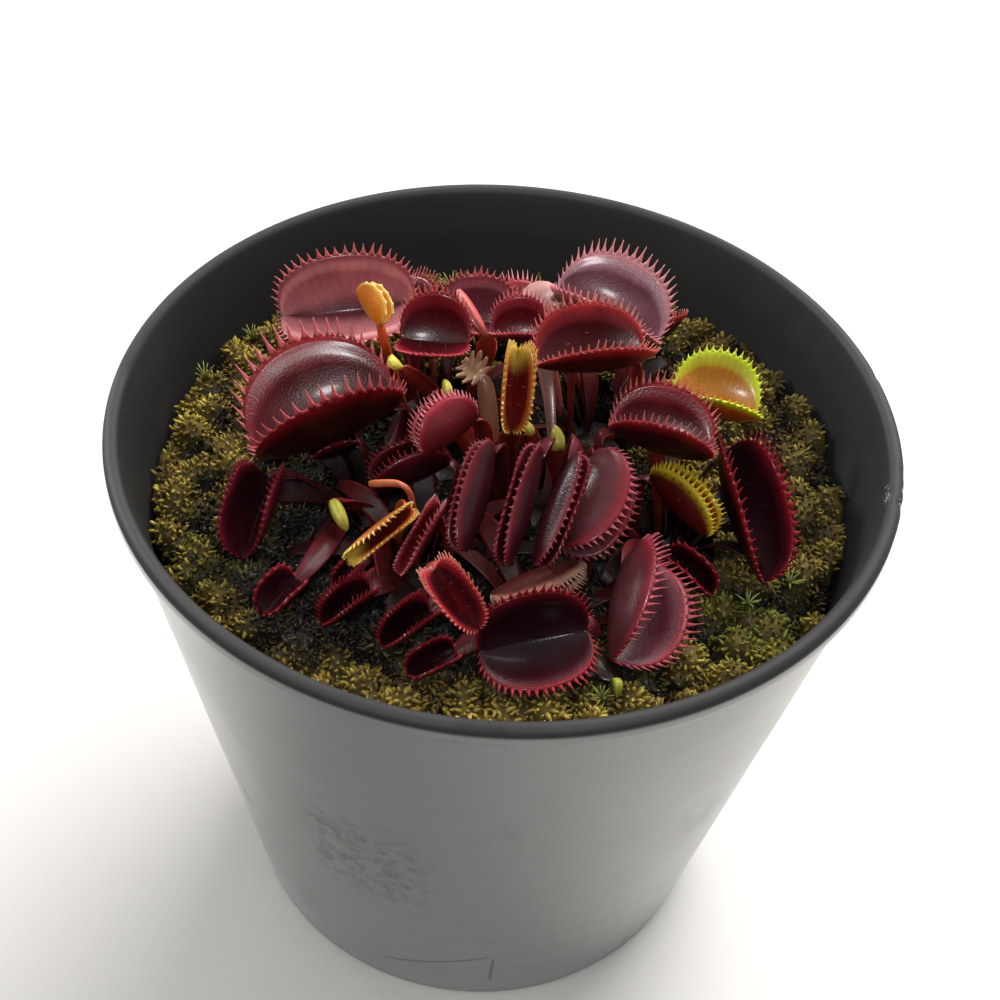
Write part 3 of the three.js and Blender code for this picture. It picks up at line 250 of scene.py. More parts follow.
LEAVES = {
    "back_left_mauve": dict(
        BIG, look="mauve", root="back_left",
        base=seen_at(412, 306, 76), tip=seen_at(282, 320, 74.5), faces=facing(-0.05, -0.58, 0.81),
        width=7.8, gape=88, slot=95, lead=2),
    "left_big": dict(
        BIG, look="wine", root="left",
        base=seen_at(402, 409, 74.5), tip=seen_at(264, 468, 70.5), faces=seen_way(-0.12, 0.8, 0.6),
        width=12, gape=74, slot=70, teeth=2.9, count=23),
    "centre_dark": dict(
        PLAIN, look="wine", root="back_left",
        base=seen_at(402, 343, 78), tip=seen_at(470, 348, 78.5), faces=facing(-0.05, -0.35, 0.93),
        width=6.2, gape=84, slot=258, lead=1),
    "back_pink": dict(
        PLAIN, look="pink", root="back_right",
        base=seen_at(514, 326, 72.5), tip=seen_at(436, 321, 73), faces=facing(0, -0.42, 0.9),
        width=6.6, gape=74, slot=190),
    "pink_slender": dict(
        BUD, look="rose", root="back_left",
        base=seen_at(486, 338, 77.5), tip=seen_at(458, 290, 80.5), faces=seen_way(-0.3, 0.2, 0.9),
        width=2.2, slot=20, lead=1.5),
    "centre_hairy": dict(
        CLOSED, look="magenta", root="middle",
        base=seen_at(480, 422, 77.5), tip=seen_at(426, 458, 76), faces=seen_way(-0.55, 0.7, 0.45),
        width=5, slot=202, lead=2),
    "centre_shade": dict(
        CLOSED, look="plum", root="front_left",
        base=seen_at(450, 466, 71.5), tip=seen_at(378, 494, 69.5), faces=seen_way(-0.4, 0.6, 0.7),
        width=5.2, gape=28, slot=80),
    "upright_orange": dict(
        PLAIN, look="ember", root="middle",
        base=seen_at(509, 432, 77.5), tip=seen_at(516, 350, 83), faces=seen_way(0.15, 0, 1),
        width=4.6, gape=40, slot=118, lead=2),
    "magenta_small": dict(
        PLAIN, look="magenta", root="back_right",
        base=seen_at(546, 338, 78), tip=seen_at(494, 336, 78), faces=facing(-0.25, -0.25, 0.93),
        width=5, gape=66, slot=222),
    "back_right_purple": dict(
        BIG, look="lilac", root="middle",
        base=seen_at(552, 298, 77.5), tip=seen_at(652, 350, 74.5), faces=seen_way(0.35, 0.6, 0.72),
        width=8.8, gape=80, stalk=6.4, shoulder=3.4, slot=42),
    "back_right_red": dict(
        HALF, look="scarlet", root="back_right",
        base=seen_at(642, 364, 80), tip=seen_at(535, 372, 81), faces=seen_way(0, 0.72, 0.7),
        width=7.4, gape=72, slot=290, lead=1.5),
    "right_yellow": dict(
        PLAIN, look="lime", root="right",
        base=seen_at(672, 401, 74.5), tip=seen_at(754, 422, 72.5), faces=seen_way(0.15, 0.72, 0.68),
        width=7.2, gape=80, teeth=0.9, slot=105, rise=1),
    "right_centre": dict(
        HALF, look="wine", root="right",
        base=seen_at(610, 436, 77), tip=seen_at(706, 466, 75), faces=seen_way(0.2, 0.75, 0.6),
        width=7.4, gape=66, slot=205),
    "right_yellow_rim": dict(
        CLOSED, look="gold_rim", root="right",
        base=seen_at(646, 483, 72.5), tip=seen_at(704, 540, 70.5), faces=seen_way(0.5, 0.6, 0.6),
        width=4.6, gape=18, slot=165),
    "right_big": dict(
        HALF, look="night", root="right",
        base=seen_at(718, 462, 69), tip=seen_at(758, 590, 66.5), faces=seen_way(0.3, 0.1, 0.95),
        width=7.6, gape=46, slot=70),
    "left_low": dict(
        CLOSED, look="plum", root="left",
        base=seen_at(270, 482, 70), tip=seen_at(243, 564, 67.8), faces=seen_way(-0.1, 0, 1),
        width=6.8, gape=40, slot=195),
    "left_green_tip": dict(
        BUD, look="shoot", root="left",
        base=seen_at(334, 502, 71), tip=seen_at(348, 530, 70), faces=seen_way(0, 0.2, 1),
        width=2.2, stalk=3.6, slot=306, lead=1),
    "orange_slender": dict(
        CLOSED, look="ember", root="front_left",
        base=seen_at(410, 508, 77), tip=seen_at(346, 558, 74), faces=seen_way(-0.2, -0.3, 0.9),
        width=2.9, gape=30, slot=150, lead=2),
    "red_slender": dict(
        CLOSED, look="magenta", root="front_left",
        base=seen_at(438, 510, 72), tip=seen_at(400, 578, 69.5), faces=seen_way(-0.3, -0.2, 0.9),
        width=2.8, gape=30, slot=330, lead=0.6),
    "red_fold": dict(
        PLAIN, look="scarlet", root="front",
        base=seen_at(434, 574, 75.5), tip=seen_at(480, 632, 74), faces=seen_way(0.1, 0.1, 1),
        width=3.8, gape=60, slot=200),
    "front_left_hanging": dict(
        CLOSED, look="plum", root="middle",
        base=seen_at(498, 450, 79.5), tip=seen_at(470, 554, 74), faces=seen_way(-0.75, 0, 0.6),
        width=3.9, gape=14, teeth=0.45, slot=238, lead=3),
    "front_mid_hanging": dict(
        CLOSED, look="plum", root="middle",
        base=seen_at(544, 452, 80), tip=seen_at(512, 566, 73.5), faces=seen_way(-0.6, 0, 0.8),
        width=3.7, gape=14, teeth=0.45, slot=270),
    "front_right_hanging": dict(
        CLOSED, look="plum", root="middle",
        base=seen_at(568, 456, 80.5), tip=seen_at(530, 562, 74), faces=seen_way(0.7, 0, 0.7),
        width=3.7, gape=14, teeth=0.45, slot=308),
    "plum_oval": dict(
        CLOSED, look="satin", root="middle",
        base=seen_at(589, 449, 78), tip=seen_at(546, 541, 73), faces=seen_way(0.85, -0.3, 0.35),
        width=7.2, gape=28, slot=342, lead=0.6),
    "front_pale_edge": dict(
        CLOSED, look="fringe", root="front",
        base=seen_at(574, 558, 70), tip=seen_at(490, 590, 69), faces=seen_way(-0.1, -0.7, 0.7),
        width=3.8, gape=20, slot=30, count=34),
    "front_big": dict(
        HALF, look="night", root="front",
        base=seen_at(586, 632, 70), tip=seen_at(476, 650, 69.5), faces=seen_way(0, 0.05, 1),
        width=6.6, gape=96, slot=328, rise=1.05, count=26),
    "front_right_round": dict(
        HALF, look="satin", root="right",
        base=seen_at(617, 560, 70.5), tip=seen_at(602, 662, 69.5), faces=seen_way(0.75, 0, 0.62),
        width=8.2, gape=54, slot=250),
    "front_green": dict(
        BUD, look="leaf_green", root="front",
        base=seen_at(611, 677, 68.7), tip=seen_at(616, 698, 68.2), faces=seen_way(0.3, 0, 1),
        width=1.8, slot=300, lead=1, rise=0.8),
    "low_left_red": dict(
        SMALL, look="night", root="left",
        base=seen_at(296, 584, 70), tip=seen_at(262, 616, 69.5), faces=seen_way(0, 0.3, 1),
        width=4, gape=50, slot=245),
    "low_left_shade": dict(
        PLAIN, look="night", root="front_left",
        base=seen_at(368, 596, 69), tip=seen_at(324, 628, 68.5), faces=seen_way(-0.2, 0.3, 1),
        width=4, gape=40, slot=230),
    "low_front_shade": dict(
        PLAIN, look="night", root="front_left",
        base=seen_at(430, 616, 70), tip=seen_at(382, 646, 69.5), faces=seen_way(-0.2, 0.2, 1),
        width=4.2, gape=40, slot=280, rise=0.65),
    "young_oval": dict(
        SMALL, look="honey", root="back_left",
        base=seen_at(380, 329, 81.5), tip=seen_at(356, 292, 83.5), faces=seen_way(0.75, 0.3, 0.5),
        width=3.2, gape=20, slot=225, lead=1, teeth=0.3, count=7),
    "young_tiny": dict(
        BUD, look="shoot", root="back_left",
        base=seen_at(402, 368, 80.5), tip=seen_at(392, 354, 81.5), faces=seen_way(-0.8, 0.2, 0.5),
        width=1.5, slot=295, lead=1),
    "bud_yellow": dict(
        BUD, look="shoot", root="middle",
        base=seen_at(448, 400, 76), tip=seen_at(446, 380, 78), faces=seen_way(0.3, 0, 1),
        width=1.6, slot=175, lead=1),
    "bud_centre_left": dict(
        BUD, look="shoot", root="middle",
        base=seen_at(527, 434, 73), tip=seen_at(523, 420, 75), faces=seen_way(0.3, 0, 1),
        width=1.6, slot=75, lead=1),
    "bud_centre_right": dict(
        BUD, look="shoot", root="middle",
        base=seen_at(552, 446, 73), tip=seen_at(553, 424, 76), faces=seen_way(0.3, 0, 1),
        width=2.4, slot=10, lead=1),
    "back_low_left": dict(
        PLAIN, look="wine", root="back_left",
        base=(-12, 21, 70), tip=(-16, 27.5, 70.5), faces=facing(-0.4, 0.85, 0.35),
        width=5, gape=50, slot=160, lead=1),
    "back_low_middle": dict(
        PLAIN, look="magenta", root="back_right",
        base=(-3, 25, 69.5), tip=(4, 26, 69.5), faces=facing(0, 0.93, 0.35),
        width=5, gape=56, slot=100, rise=0.9),
    "back_low_right": dict(
        PLAIN, look="wine", root="back_right",
        base=(15.5, 20.5, 69.5), tip=(20.5, 26, 70), faces=facing(0.3, 0.3, 0.9),
        width=5, gape=50, slot=40),
    "left_mid_dark": dict(
        SMALL, look="night", root="left",
        base=seen_at(356, 444, 68), tip=seen_at(312, 458, 67.5), faces=seen_way(-0.1, 0.5, 1),
        width=3.8, gape=36, slot=110),
    "low_mid_dark": dict(
        SMALL, look="night", root="left",
        base=seen_at(360, 566, 67.6), tip=seen_at(334, 588, 67.2), faces=seen_way(0, 0.5, 1),
        width=2.8, gape=36, slot=272),
    "low_front_dark": dict(
        SMALL, look="night", root="front",
        base=seen_at(452, 654, 69), tip=seen_at(406, 674, 68.5), faces=seen_way(0, 0.4, 1),
        width=3.4, gape=50, slot=236, rise=1),
    "right_low_dark": dict(
        SMALL, look="night", root="right",
        base=seen_at(668, 560, 68), tip=seen_at(712, 596, 67.5), faces=seen_way(0.2, 0.4, 1),
        width=3.8, gape=40, slot=312),
    "dry_blade": dict(
        DRY, look="straw", root="middle",
        base=seen_at(486, 380, 74.5), tip=seen_at(464, 360, 75), faces=seen_way(-0.3, 0.3, 1),
        width=2.6, gape=120, slot=147, lead=1, stalk=2.2, torn=0.6),
}


# ------------------------------------------------------------------ mesh helpers
def unit(v):
    return v / np.maximum(np.linalg.norm(v, axis=-1, keepdims=True), 1e-9)


def unit_turns(count):
    """Angles once round a circle, in radians."""
    return np.linspace(0, 2 * np.pi, count, endpoint=False)


def bend_through(t, foot, first, second, end):
    """Points of a smooth curve from foot to end that leans to first and then to second."""
    return (1 - t) ** 3 * foot + 3 * (1 - t) ** 2 * t * first + 3 * (1 - t) * t ** 2 * second + t ** 3 * end


def smooth_step(low, high, value):
    t = np.clip((value - low) / (high - low), 0, 1)
    return t * t * (3 - 2 * t)


class Form:
    """A mesh in the making, in millimetres, with one value of each mark at every point."""

    def __init__(self, *marks):
        self.points = []
        self.faces = []
        self.marks = {mark: [] for mark in marks}
        self.size = 0

    def add(self, points, faces, **marks):
        points = np.asarray(points, float).reshape(-1, 3)
        self.points.append(points)
        self.faces += [tuple(self.size + corner for corner in face) for face in faces]
        for mark, values in self.marks.items():
            values.append(np.broadcast_to(marks.get(mark, 0.0), len(points)).astype(float))
        self.size += len(points)

    def piece(self, name, merge=1e-4):
        """The form as an object, its doubled points merged and its faces pointing out."""
        mesh = bpy.data.meshes.new(name)
        mesh.from_pydata((np.concatenate(self.points) * MM).tolist(), [], self.faces)
        for mark, values in self.marks.items():
            layer = mesh.attributes.new(mark, "FLOAT", "POINT")
            layer.data.foreach_set("value", np.concatenate(values))
        return finished(name, mesh, merge)


def finished(name, mesh, merge=1e-4):
    """A smooth object from a mesh, its doubled points merged and its faces pointing out."""
    work = bmesh.new()
    work.from_mesh(mesh)
    bmesh.ops.remove_doubles(work, verts=work.verts, dist=merge * MM)
    bmesh.ops.dissolve_degenerate(work, dist=1e-6 * MM, edges=work.edges)
    bmesh.ops.recalc_face_normals(work, faces=work.faces)
    work.to_mesh(mesh)
    work.free()
    mesh.shade_smooth()
    piece = bpy.data.objects.new(name, mesh)
    bpy.context.scene.collection.objects.link(piece)
    return piece


def grid_faces(rows, columns, wrap=False):
    """Quads of a grid of points that is stored row by row. A wrapped grid closes on itself."""
    quads = []
    for i in range(rows - 1):
        for j in range(columns if wrap else columns - 1):
            k = (j + 1) % columns
            quads.append((i * columns + j, i * columns + k, (i + 1) * columns + k, (i + 1) * columns + j))
    return quads


def tube_faces(rows, sides):
    """Faces of a grid that closes on itself, with a cap at each end."""
    caps = [tuple(range(sides))[::-1], tuple((rows - 1) * sides + j for j in range(sides))]
    return grid_faces(rows, sides, wrap=True) + caps


def tube(form, centres, wide, thick, across, flat, sides=8, **marks):
    """A closed tube of oval section round a line of centres, with a flat cap at each end."""
    turn = unit_turns(sides)
    ring = (centres[:, None] + wide[:, None, None] * np.cos(turn)[None, :, None] * across[:, None]
            + thick[:, None, None] * np.sin(turn)[None, :, None] * flat[:, None])
    rows = len(centres)
    spread = {mark: np.repeat(np.broadcast_to(value, rows), sides) for mark, value in marks.items()}
    form.add(ring, tube_faces(rows, sides), **spread)


def dress(piece, material, slot, *nodes):
    """Gives a finished piece its material and lets it stand for its nodes. The slot is not used."""
    piece.data.materials.clear()
    piece.data.materials.append(material)
    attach(piece, BODY)
    if nodes:
        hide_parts(*nodes)
    return piece


# ------------------------------------------------------------------ material helpers
def add_node(tree, kind, inputs=None, **settings):
    """Adds a node, with its settings, and its inputs given as values or as sockets to link."""
    node = tree.nodes.new(kind)
    for key, value in settings.items():
        setattr(node, key, value)
    for key, value in (inputs or {}).items():
        if isinstance(value, bpy.types.NodeSocket):
            tree.links.new(value, node.inputs[key])
        else:
            node.inputs[key].default_value = value
    return node


def mixed(tree, factor, first, second, blend="MIX"):
    """The colour between two colours."""
    node = add_node(tree, "ShaderNodeMix", {0: factor, 6: first, 7: second},
                    data_type="RGBA", blend_type=blend)
    return node.outputs[2]


def calc(tree, operation, first, second=0.0):
    return add_node(tree, "ShaderNodeMath", {0: first, 1: second}, operation=operation).outputs[0]


def times(tree, first, second):
    return calc(tree, "MULTIPLY", first, second)


def plus(tree, first, second):
    return calc(tree, "ADD", first, second)


def between(tree, value, low, high, start=0.0, end=1.0):
    """A value eased from start to end as another runs from low to high."""
    node = add_node(tree, "ShaderNodeMapRange", {0: value, 1: low, 2: high, 3: start, 4: end},
                    interpolation_type="SMOOTHSTEP")
    return node.outputs[0]


def near(tree, value, middle, inner, outer):
    """1 where a value is within inner of its middle, easing to 0 at outer."""
    away = calc(tree, "ABSOLUTE", calc(tree, "SUBTRACT", value, middle))
    return between(tree, away, inner, outer, 1.0, 0.0)


def mark(tree, name):
    return add_node(tree, "ShaderNodeAttribute", attribute_name=name).outputs["Fac"]


def grain(tree, place, scale, detail=3.0, stretch=(1, 1, 1), roughness=0.5):
    """Noise of 0 to 1 at a place. Scale is in grains for each metre."""
    moved = add_node(tree, "ShaderNodeMapping", {"Vector": place, "Scale": stretch}).outputs[0]
    return add_node(tree, "ShaderNodeTexNoise", {"Vector": moved, "Scale": scale, "Detail": detail,
                                                 "Roughness": roughness}).outputs["Fac"]


def place_of(tree):
    return add_node(tree, "ShaderNodeTexCoord").outputs["Object"]


def new_group(name, inputs, outputs):
    """An empty shader group with colour or value sockets of these names and defaults."""
    tree = bpy.data.node_groups.new(name, "ShaderNodeTree")
    for label, default in inputs.items():
        kind = "NodeSocketColor" if isinstance(default, tuple) else "NodeSocketFloat"
        tree.interface.new_socket(label, in_out="INPUT", socket_type=kind).default_value = default
    for label, kind in outputs.items():
        tree.interface.new_socket(label, in_out="OUTPUT", socket_type=kind)
    return tree, tree.nodes.new("NodeGroupInput").outputs, tree.nodes.new("NodeGroupOutput")


def new_material(name):
    """A material with its tree and its surface shader."""
    material = bpy.data.materials.new(name)
    material.use_nodes = True
    tree = material.node_tree
    return material, tree, tree.nodes["Principled BSDF"]


def constants(shader, values):
    """Sets what is the same all over a surface."""
    for key, value in values.items():
        shader.inputs[key].default_value = value


def bumped(tree, shader, height, distance, strength=1.0):
    """Turns a height of 0 to 1 into a normal. Distance is in millimetres."""
    bump = add_node(tree, "ShaderNodeBump", {"Height": height, "Distance": distance * MM,
                                             "Strength": strength})
    tree.links.new(bump.outputs[0], shader.inputs["Normal"])


# ------------------------------------------------------------------ pot
def wall_radius(z):
    return BASE_RADIUS + (RIM_RADIUS - LIP_PROUD - BASE_RADIUS) * z / POT_HEIGHT


def arc(centre, radius, start, end, steps):
    """Points of an arc in a profile, from one angle to another in degrees."""
    turn = np.radians(np.linspace(start, end, steps))
    return [(centre[0] + radius * math.cos(a), centre[1] + radius * math.sin(a)) for a in turn]


def pot_profile():
    """The pot's section, from the middle of its underside round the wall to its inner floor."""
    under = POT_HEIGHT - LIP_HEIGHT
    roll = (WALL + LIP_PROUD) / 2
    floor_top = FOOT_LIFT + FLOOR
    foot = BASE_RADIUS - FOOT_WIDTH
    profile = [(r, FOOT_LIFT) for r in np.linspace(8, foot, 6)]
    profile += arc((foot + 0.4, 0.4), 0.4, 180, 270, 4)
    profile += arc((BASE_RADIUS - 0.5, 0.5), 0.5, -90, 0, 5)
    profile += [(wall_radius(z), z) for z in np.linspace(1.5, under - 0.3, 16)]
    profile += arc((wall_radius(under) + 0.3, under - 0.3 + 0.3), 0.3, 180, 90, 3)
    profile += arc((RIM_RADIUS - 0.3, under + 0.55), 0.3, -90, 0, 4)
    profile += arc((RIM_RADIUS - roll, POT_HEIGHT - roll), roll, 5, 175, 11)
    profile += [(wall_radius(z) - WALL, z) for z in np.linspace(POT_HEIGHT - roll - 0.6, floor_top + 2, 14)]
    profile += arc((wall_radius(floor_top) - WALL - 1.2, floor_top + 1.2), 1.2, 0, -90, 4)
    profile += [(r, floor_top) for r in np.linspace(wall_radius(floor_top) - WALL - 4, 8, 5)]
    return profile


def make_pot(nick_depth, turns=224):
    profile = np.array(pot_profile())
    form = Form()
    angle = unit_turns(turns)
    radius = np.repeat(profile[:, :1], turns, axis=1)
    height = np.repeat(profile[:, 1:], turns, axis=1)
    # Small nicks in the lip, each given by its azimuth and its width, in degrees, and its depth.
    for azimuth, wide, deep in ((-13, 0.8, 0.25), (-9, 0.6, 0.2), (-6, 0.5, 0.15), (15, 0.6, 0.2)):
        away = np.degrees(np.abs(np.angle(np.exp(1j * (angle - math.radians(azimuth))))))
        bite = deep * nick_depth * np.exp(-(away / wide) ** 2)
        lip = smooth_step(POT_HEIGHT - 1.4, POT_HEIGHT - 0.3, height) * (radius > RIM_RADIUS - 1.2)
        radius = radius - bite * lip
        height = height - 0.6 * bite * lip
    ring = np.stack([radius * np.cos(angle), radius * np.sin(angle), height], axis=-1)
    rows = len(profile)
    form.add(ring, grid_faces(rows, turns, wrap=True))
    # The floor's inner part is a plate between the two innermost rings.
    centre = form.size
    form.add([(0, 0, FOOT_LIFT), (0, 0, FOOT_LIFT + FLOOR)], [])
    last = (rows - 1) * turns
    for j in range(turns):
        k = (j + 1) % turns
        form.faces += [(k, j, centre), (last + j, last + k, centre + 1)]
    pot = form.piece("pot_body")
    drill_holes(pot)
    return pot


def drill_holes(pot):
    """Cuts the drain holes through the pot's floor."""
    cutter = bmesh.new()
    spots = [(0, 0)] + [(DRAIN_RING * math.cos(math.tau * i / DRAIN_COUNT),
                         DRAIN_RING * math.sin(math.tau * i / DRAIN_COUNT)) for i in range(DRAIN_COUNT)]
    for x, y in spots:
        bmesh.ops.create_cone(cutter, cap_ends=True, segments=40, radius1=DRAIN_RADIUS * MM,
                              radius2=DRAIN_RADIUS * MM, depth=4 * FLOOR * MM,
                              matrix=Matrix.Translation((x * MM, y * MM, (FOOT_LIFT + FLOOR / 2) * MM)))
    mesh = bpy.data.meshes.new("drain_cutter")
    cutter.to_mesh(mesh)
    cutter.free()
    tool = bpy.data.objects.new("drain_cutter", mesh)
    bpy.context.scene.collection.objects.link(tool)
    cut = pot.modifiers.new("Drain holes", "BOOLEAN")
    cut.operation = "DIFFERENCE"
    cut.solver = "EXACT"
    cut.object = tool
    bake_modifiers(pot)
    bpy.data.objects.remove(tool)
    pot.data.shade_smooth()


def bake_modifiers(piece):
    """Makes the result of a piece's modifiers its own mesh."""
    bpy.context.view_layer.update()
    ready = piece.evaluated_get(bpy.context.evaluated_depsgraph_get())
    mesh = bpy.data.meshes.new_from_object(ready)
    piece.modifiers.clear()
    piece.data = mesh


# Degrees in a radian, and the radius in metres that the wall is unrolled at.
RADIAN = 57.3
UNROLLED_RADIUS = 0.04


def scratch_group():
    """Fine scratches round a moulded wall, patchy haze and the faint rings of its mould."""
    tree, given, out = new_group("Moulded wear", {"Rings": 1.0}, {
        "Scratches": "NodeSocketFloat", "Haze": "NodeSocketFloat", "Height": "NodeSocketFloat",
        "Outer": "NodeSocketFloat", "Scuffs": "NodeSocketFloat", "Chips": "NodeSocketFloat"})
    place = place_of(tree)
    split = add_node(tree, "ShaderNodeSeparateXYZ", {0: place}).outputs
    turn = calc(tree, "ARCTAN2", split[1], split[0])
    unrolled = add_node(tree, "ShaderNodeCombineXYZ", {0: times(tree, turn, UNROLLED_RADIUS),
                                                       1: split[2]}).outputs[0]
    streaks = grain(tree, unrolled, 90, 5, (1, 22, 1), 0.6)
    scratches = between(tree, streaks, 0.66, 0.72)
    haze = grain(tree, place, 60, 5)
    rings = add_node(tree, "ShaderNodeTexWave", {"Vector": unrolled, "Scale": 60.0, "Distortion": 0.6},
                     wave_type="BANDS", bands_direction="Y", wave_profile="SIN").outputs["Fac"]
    fine = grain(tree, place, 2600, 2)
    height = plus(tree, times(tree, rings, given["Rings"]),
                  times(tree, fine, 0.12))
    high = times(tree, split[2], 1 / MM)
    away = add_node(tree, "ShaderNodeVectorMath", {0: add_node(tree, "ShaderNodeCombineXYZ", {
        0: split[0], 1: split[1]}).outputs[0]}, operation="LENGTH").outputs["Value"]
    slope = (RIM_RADIUS - LIP_PROUD - BASE_RADIUS) / POT_HEIGHT
    proud = calc(tree, "SUBTRACT", times(tree, away, 1 / MM),
                 plus(tree, times(tree, high, slope), BASE_RADIUS))
    outer = times(tree, between(tree, proud, -0.7, -0.3),
                 between(tree, high, POT_HEIGHT - 1.3, POT_HEIGHT - 0.7, 1.0, 0.0))
    degrees = times(tree, turn, RADIAN)
    # A scuffed patch low on the front, a slanting scratch under it and a short upright one.
    patchy = between(tree, grain(tree, unrolled, 420, 6, roughness=0.75), 0.38, 0.66, 0.0, 0.75)
    patch = times(tree, times(tree, near(tree, degrees, -108, 7, 16),
                                        near(tree, high, 38, 5, 15)), patchy)
    slant = calc(tree, "SUBTRACT", high, times(tree, degrees, 0.285))
    slanting = times(tree, near(tree, slant, 37.9, 0.1, 0.45), near(tree, degrees, -96, 9, 14))
    upright = times(tree, near(tree, degrees, -83.5, 0.1, 0.5), near(tree, high, 9, 3, 5))
    lines = calc(tree, "MAXIMUM", slanting, upright)
    smudges = between(tree, grain(tree, unrolled, 70, 5, (1, 0.6, 1), 0.65), 0.55, 0.75, 0.0, 0.5)
    tree.links.new(calc(tree, "MAXIMUM", smudges, calc(tree, "MAXIMUM", lines, patch)), out.inputs["Scuffs"])
    chipped = between(tree, grain(tree, place, 1900, 2), 0.54, 0.6)
    chips = times(tree, times(tree, near(tree, degrees, -11, 0.8, 3.0), chipped),
                 near(tree, high, POT_HEIGHT - 0.9, 0.3, 0.7))
    tree.links.new(chips, out.inputs["Chips"])
    tree.links.new(outer, out.inputs["Outer"])
    tree.links.new(scratches, out.inputs["Scratches"])
    tree.links.new(haze, out.inputs["Haze"])
    tree.links.new(height, out.inputs["Height"])
    return tree


def plastic_material(colour, roughness):
    material, tree, shader = new_material("Satin black plastic")
    wear = add_node(tree, "ShaderNodeGroup", {}, node_tree=scratch_group())
    wear.inputs["Rings"].default_value = 0.5
    haze = between(tree, wear.outputs["Haze"], 0.35, 0.75)
    dusty = mixed(tree, haze, colour, tint(44, 41, 38))
    scuffed = mixed(tree, times(tree, wear.outputs["Scratches"], 0.35), dusty, tint(92, 88, 84))
    rough = plus(tree, times(tree, haze, 0.1),
                 times(tree, wear.outputs["Scratches"], 0.08))
    outer = wear.outputs["Outer"]
    scuffs = wear.outputs["Scuffs"]
    base = mixed(tree, wear.outputs["Chips"], mixed(tree, outer, colour, scuffed), tint(190, 190, 188))
    tree.links.new(base, shader.inputs["Base Color"])
    # The inside and the lip are dull. The outside is satin, and duller where it is scuffed.
    worn = plus(tree, plus(tree, rough, roughness), times(tree, scuffs, 0.25))
    dull = between(tree, outer, 0.0, 1.0, 0.35, 0.0)
    tree.links.new(plus(tree, worn, dull), shader.inputs["Roughness"])
    constants(shader, {"IOR": 1.4, "Coat IOR": 2.25, "Coat Roughness": 0.28})
    glossy = times(tree, outer, between(tree, scuffs, 0.0, 1.0, 1.0, 0.62))
    tree.links.new(glossy, shader.inputs["Coat Weight"])
    bumped(tree, shader, wear.outputs["Height"], 0.05, 0.6)
    return material


# ------------------------------------------------------------------ medium
def rough_height(x, y, size, seed):
    """Bumpy ground: noise of -1 to 1 with bumps of about the given size in millimetres."""
    return noise.fractal(Vector((x / size, y / size, seed)), 1.0, 2.1, 4)


def make_medium(lump):
    """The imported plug: a smooth flank and a rough top that dips round each rhizome."""
    form = Form("depth")
    bottom = FOOT_LIFT + FLOOR + CLEAR
    edge = lambda z: wall_radius(z) - WALL - CLEAR
    turns, rings = 120, 46
    angle = unit_turns(turns)
    rows = []
    for r in np.linspace(0.3, edge(MEDIUM_TOP) - 0.2, rings):
        row = []
        for a in angle:
            x, y = r * math.cos(a), r * math.sin(a)
            closest = min(math.hypot(x - cx, y - cy) for cx, cy in RHIZOMES.values())
            dip = 3.5 * (1 - smooth_step(RHIZOME_RADIUS + 0.2, 5.2, closest))
            fade = 1 if r < edge(MEDIUM_TOP) - 1 else 0.3
            row.append((x, y, MEDIUM_TOP - 0.5 + lump * fade * rough_height(x, y, 2.4, 3.1) - dip))
        rows.append(row)
    for z in (MEDIUM_TOP - 1, 40, 20, bottom + 1.5):
        rows.append([(edge(z) * math.cos(a), edge(z) * math.sin(a), z) for a in angle])
    for r in (edge(bottom) - 1.5, 15, 0.3):
        rows.append([(r * math.cos(a), r * math.sin(a), bottom) for a in angle])
    faces = grid_faces(len(rows), turns, wrap=True)
    faces.append(tuple(range(turns)))
    faces.append(tuple((len(rows) - 1) * turns + j for j in range(turns)))
    form.add(np.array(rows), faces)
    return form.piece("medium_plug")


def peat_material(colour):
    material, tree, shader = new_material("Damp peat")
    place = place_of(tree)
    flecks = between(tree, grain(tree, place, 900, 4), 0.55, 0.7)
    clods = grain(tree, place, 300, 6)
    dark = mixed(tree, clods, tint(14, 10, 8), colour)
    tree.links.new(mixed(tree, flecks, dark, tint(92, 66, 44)), shader.inputs["Base Color"])
    shader.inputs["Roughness"].default_value = 0.85
    bumped(tree, shader, clods, 0.6)
    return material


# ------------------------------------------------------------------ moss
# How far a mound reaches from its top, by the size of its cell.
MOUND_REACH = 0.72
WARP_SEED = 12


def mound(x, y, size, seed):
    """Mounds packed over the ground: 1 on the top of one and 0 in the creases between them."""
    x, y = x / size, y / size
    i, j = math.floor(x), math.floor(y)
    closest = 9.0
    for a in (i - 1, i, i + 1):
        for b in (j - 1, j, j + 1):
            jitter = noise.cell_vector(Vector((a + 0.5, b + 0.5, seed)))
            away = math.hypot(a + 0.15 + 0.7 * jitter.x - x, b + 0.15 + 0.7 * jitter.y - y)
            closest = min(closest, away)
    return 1 - min(1, closest / MOUND_REACH) ** 2


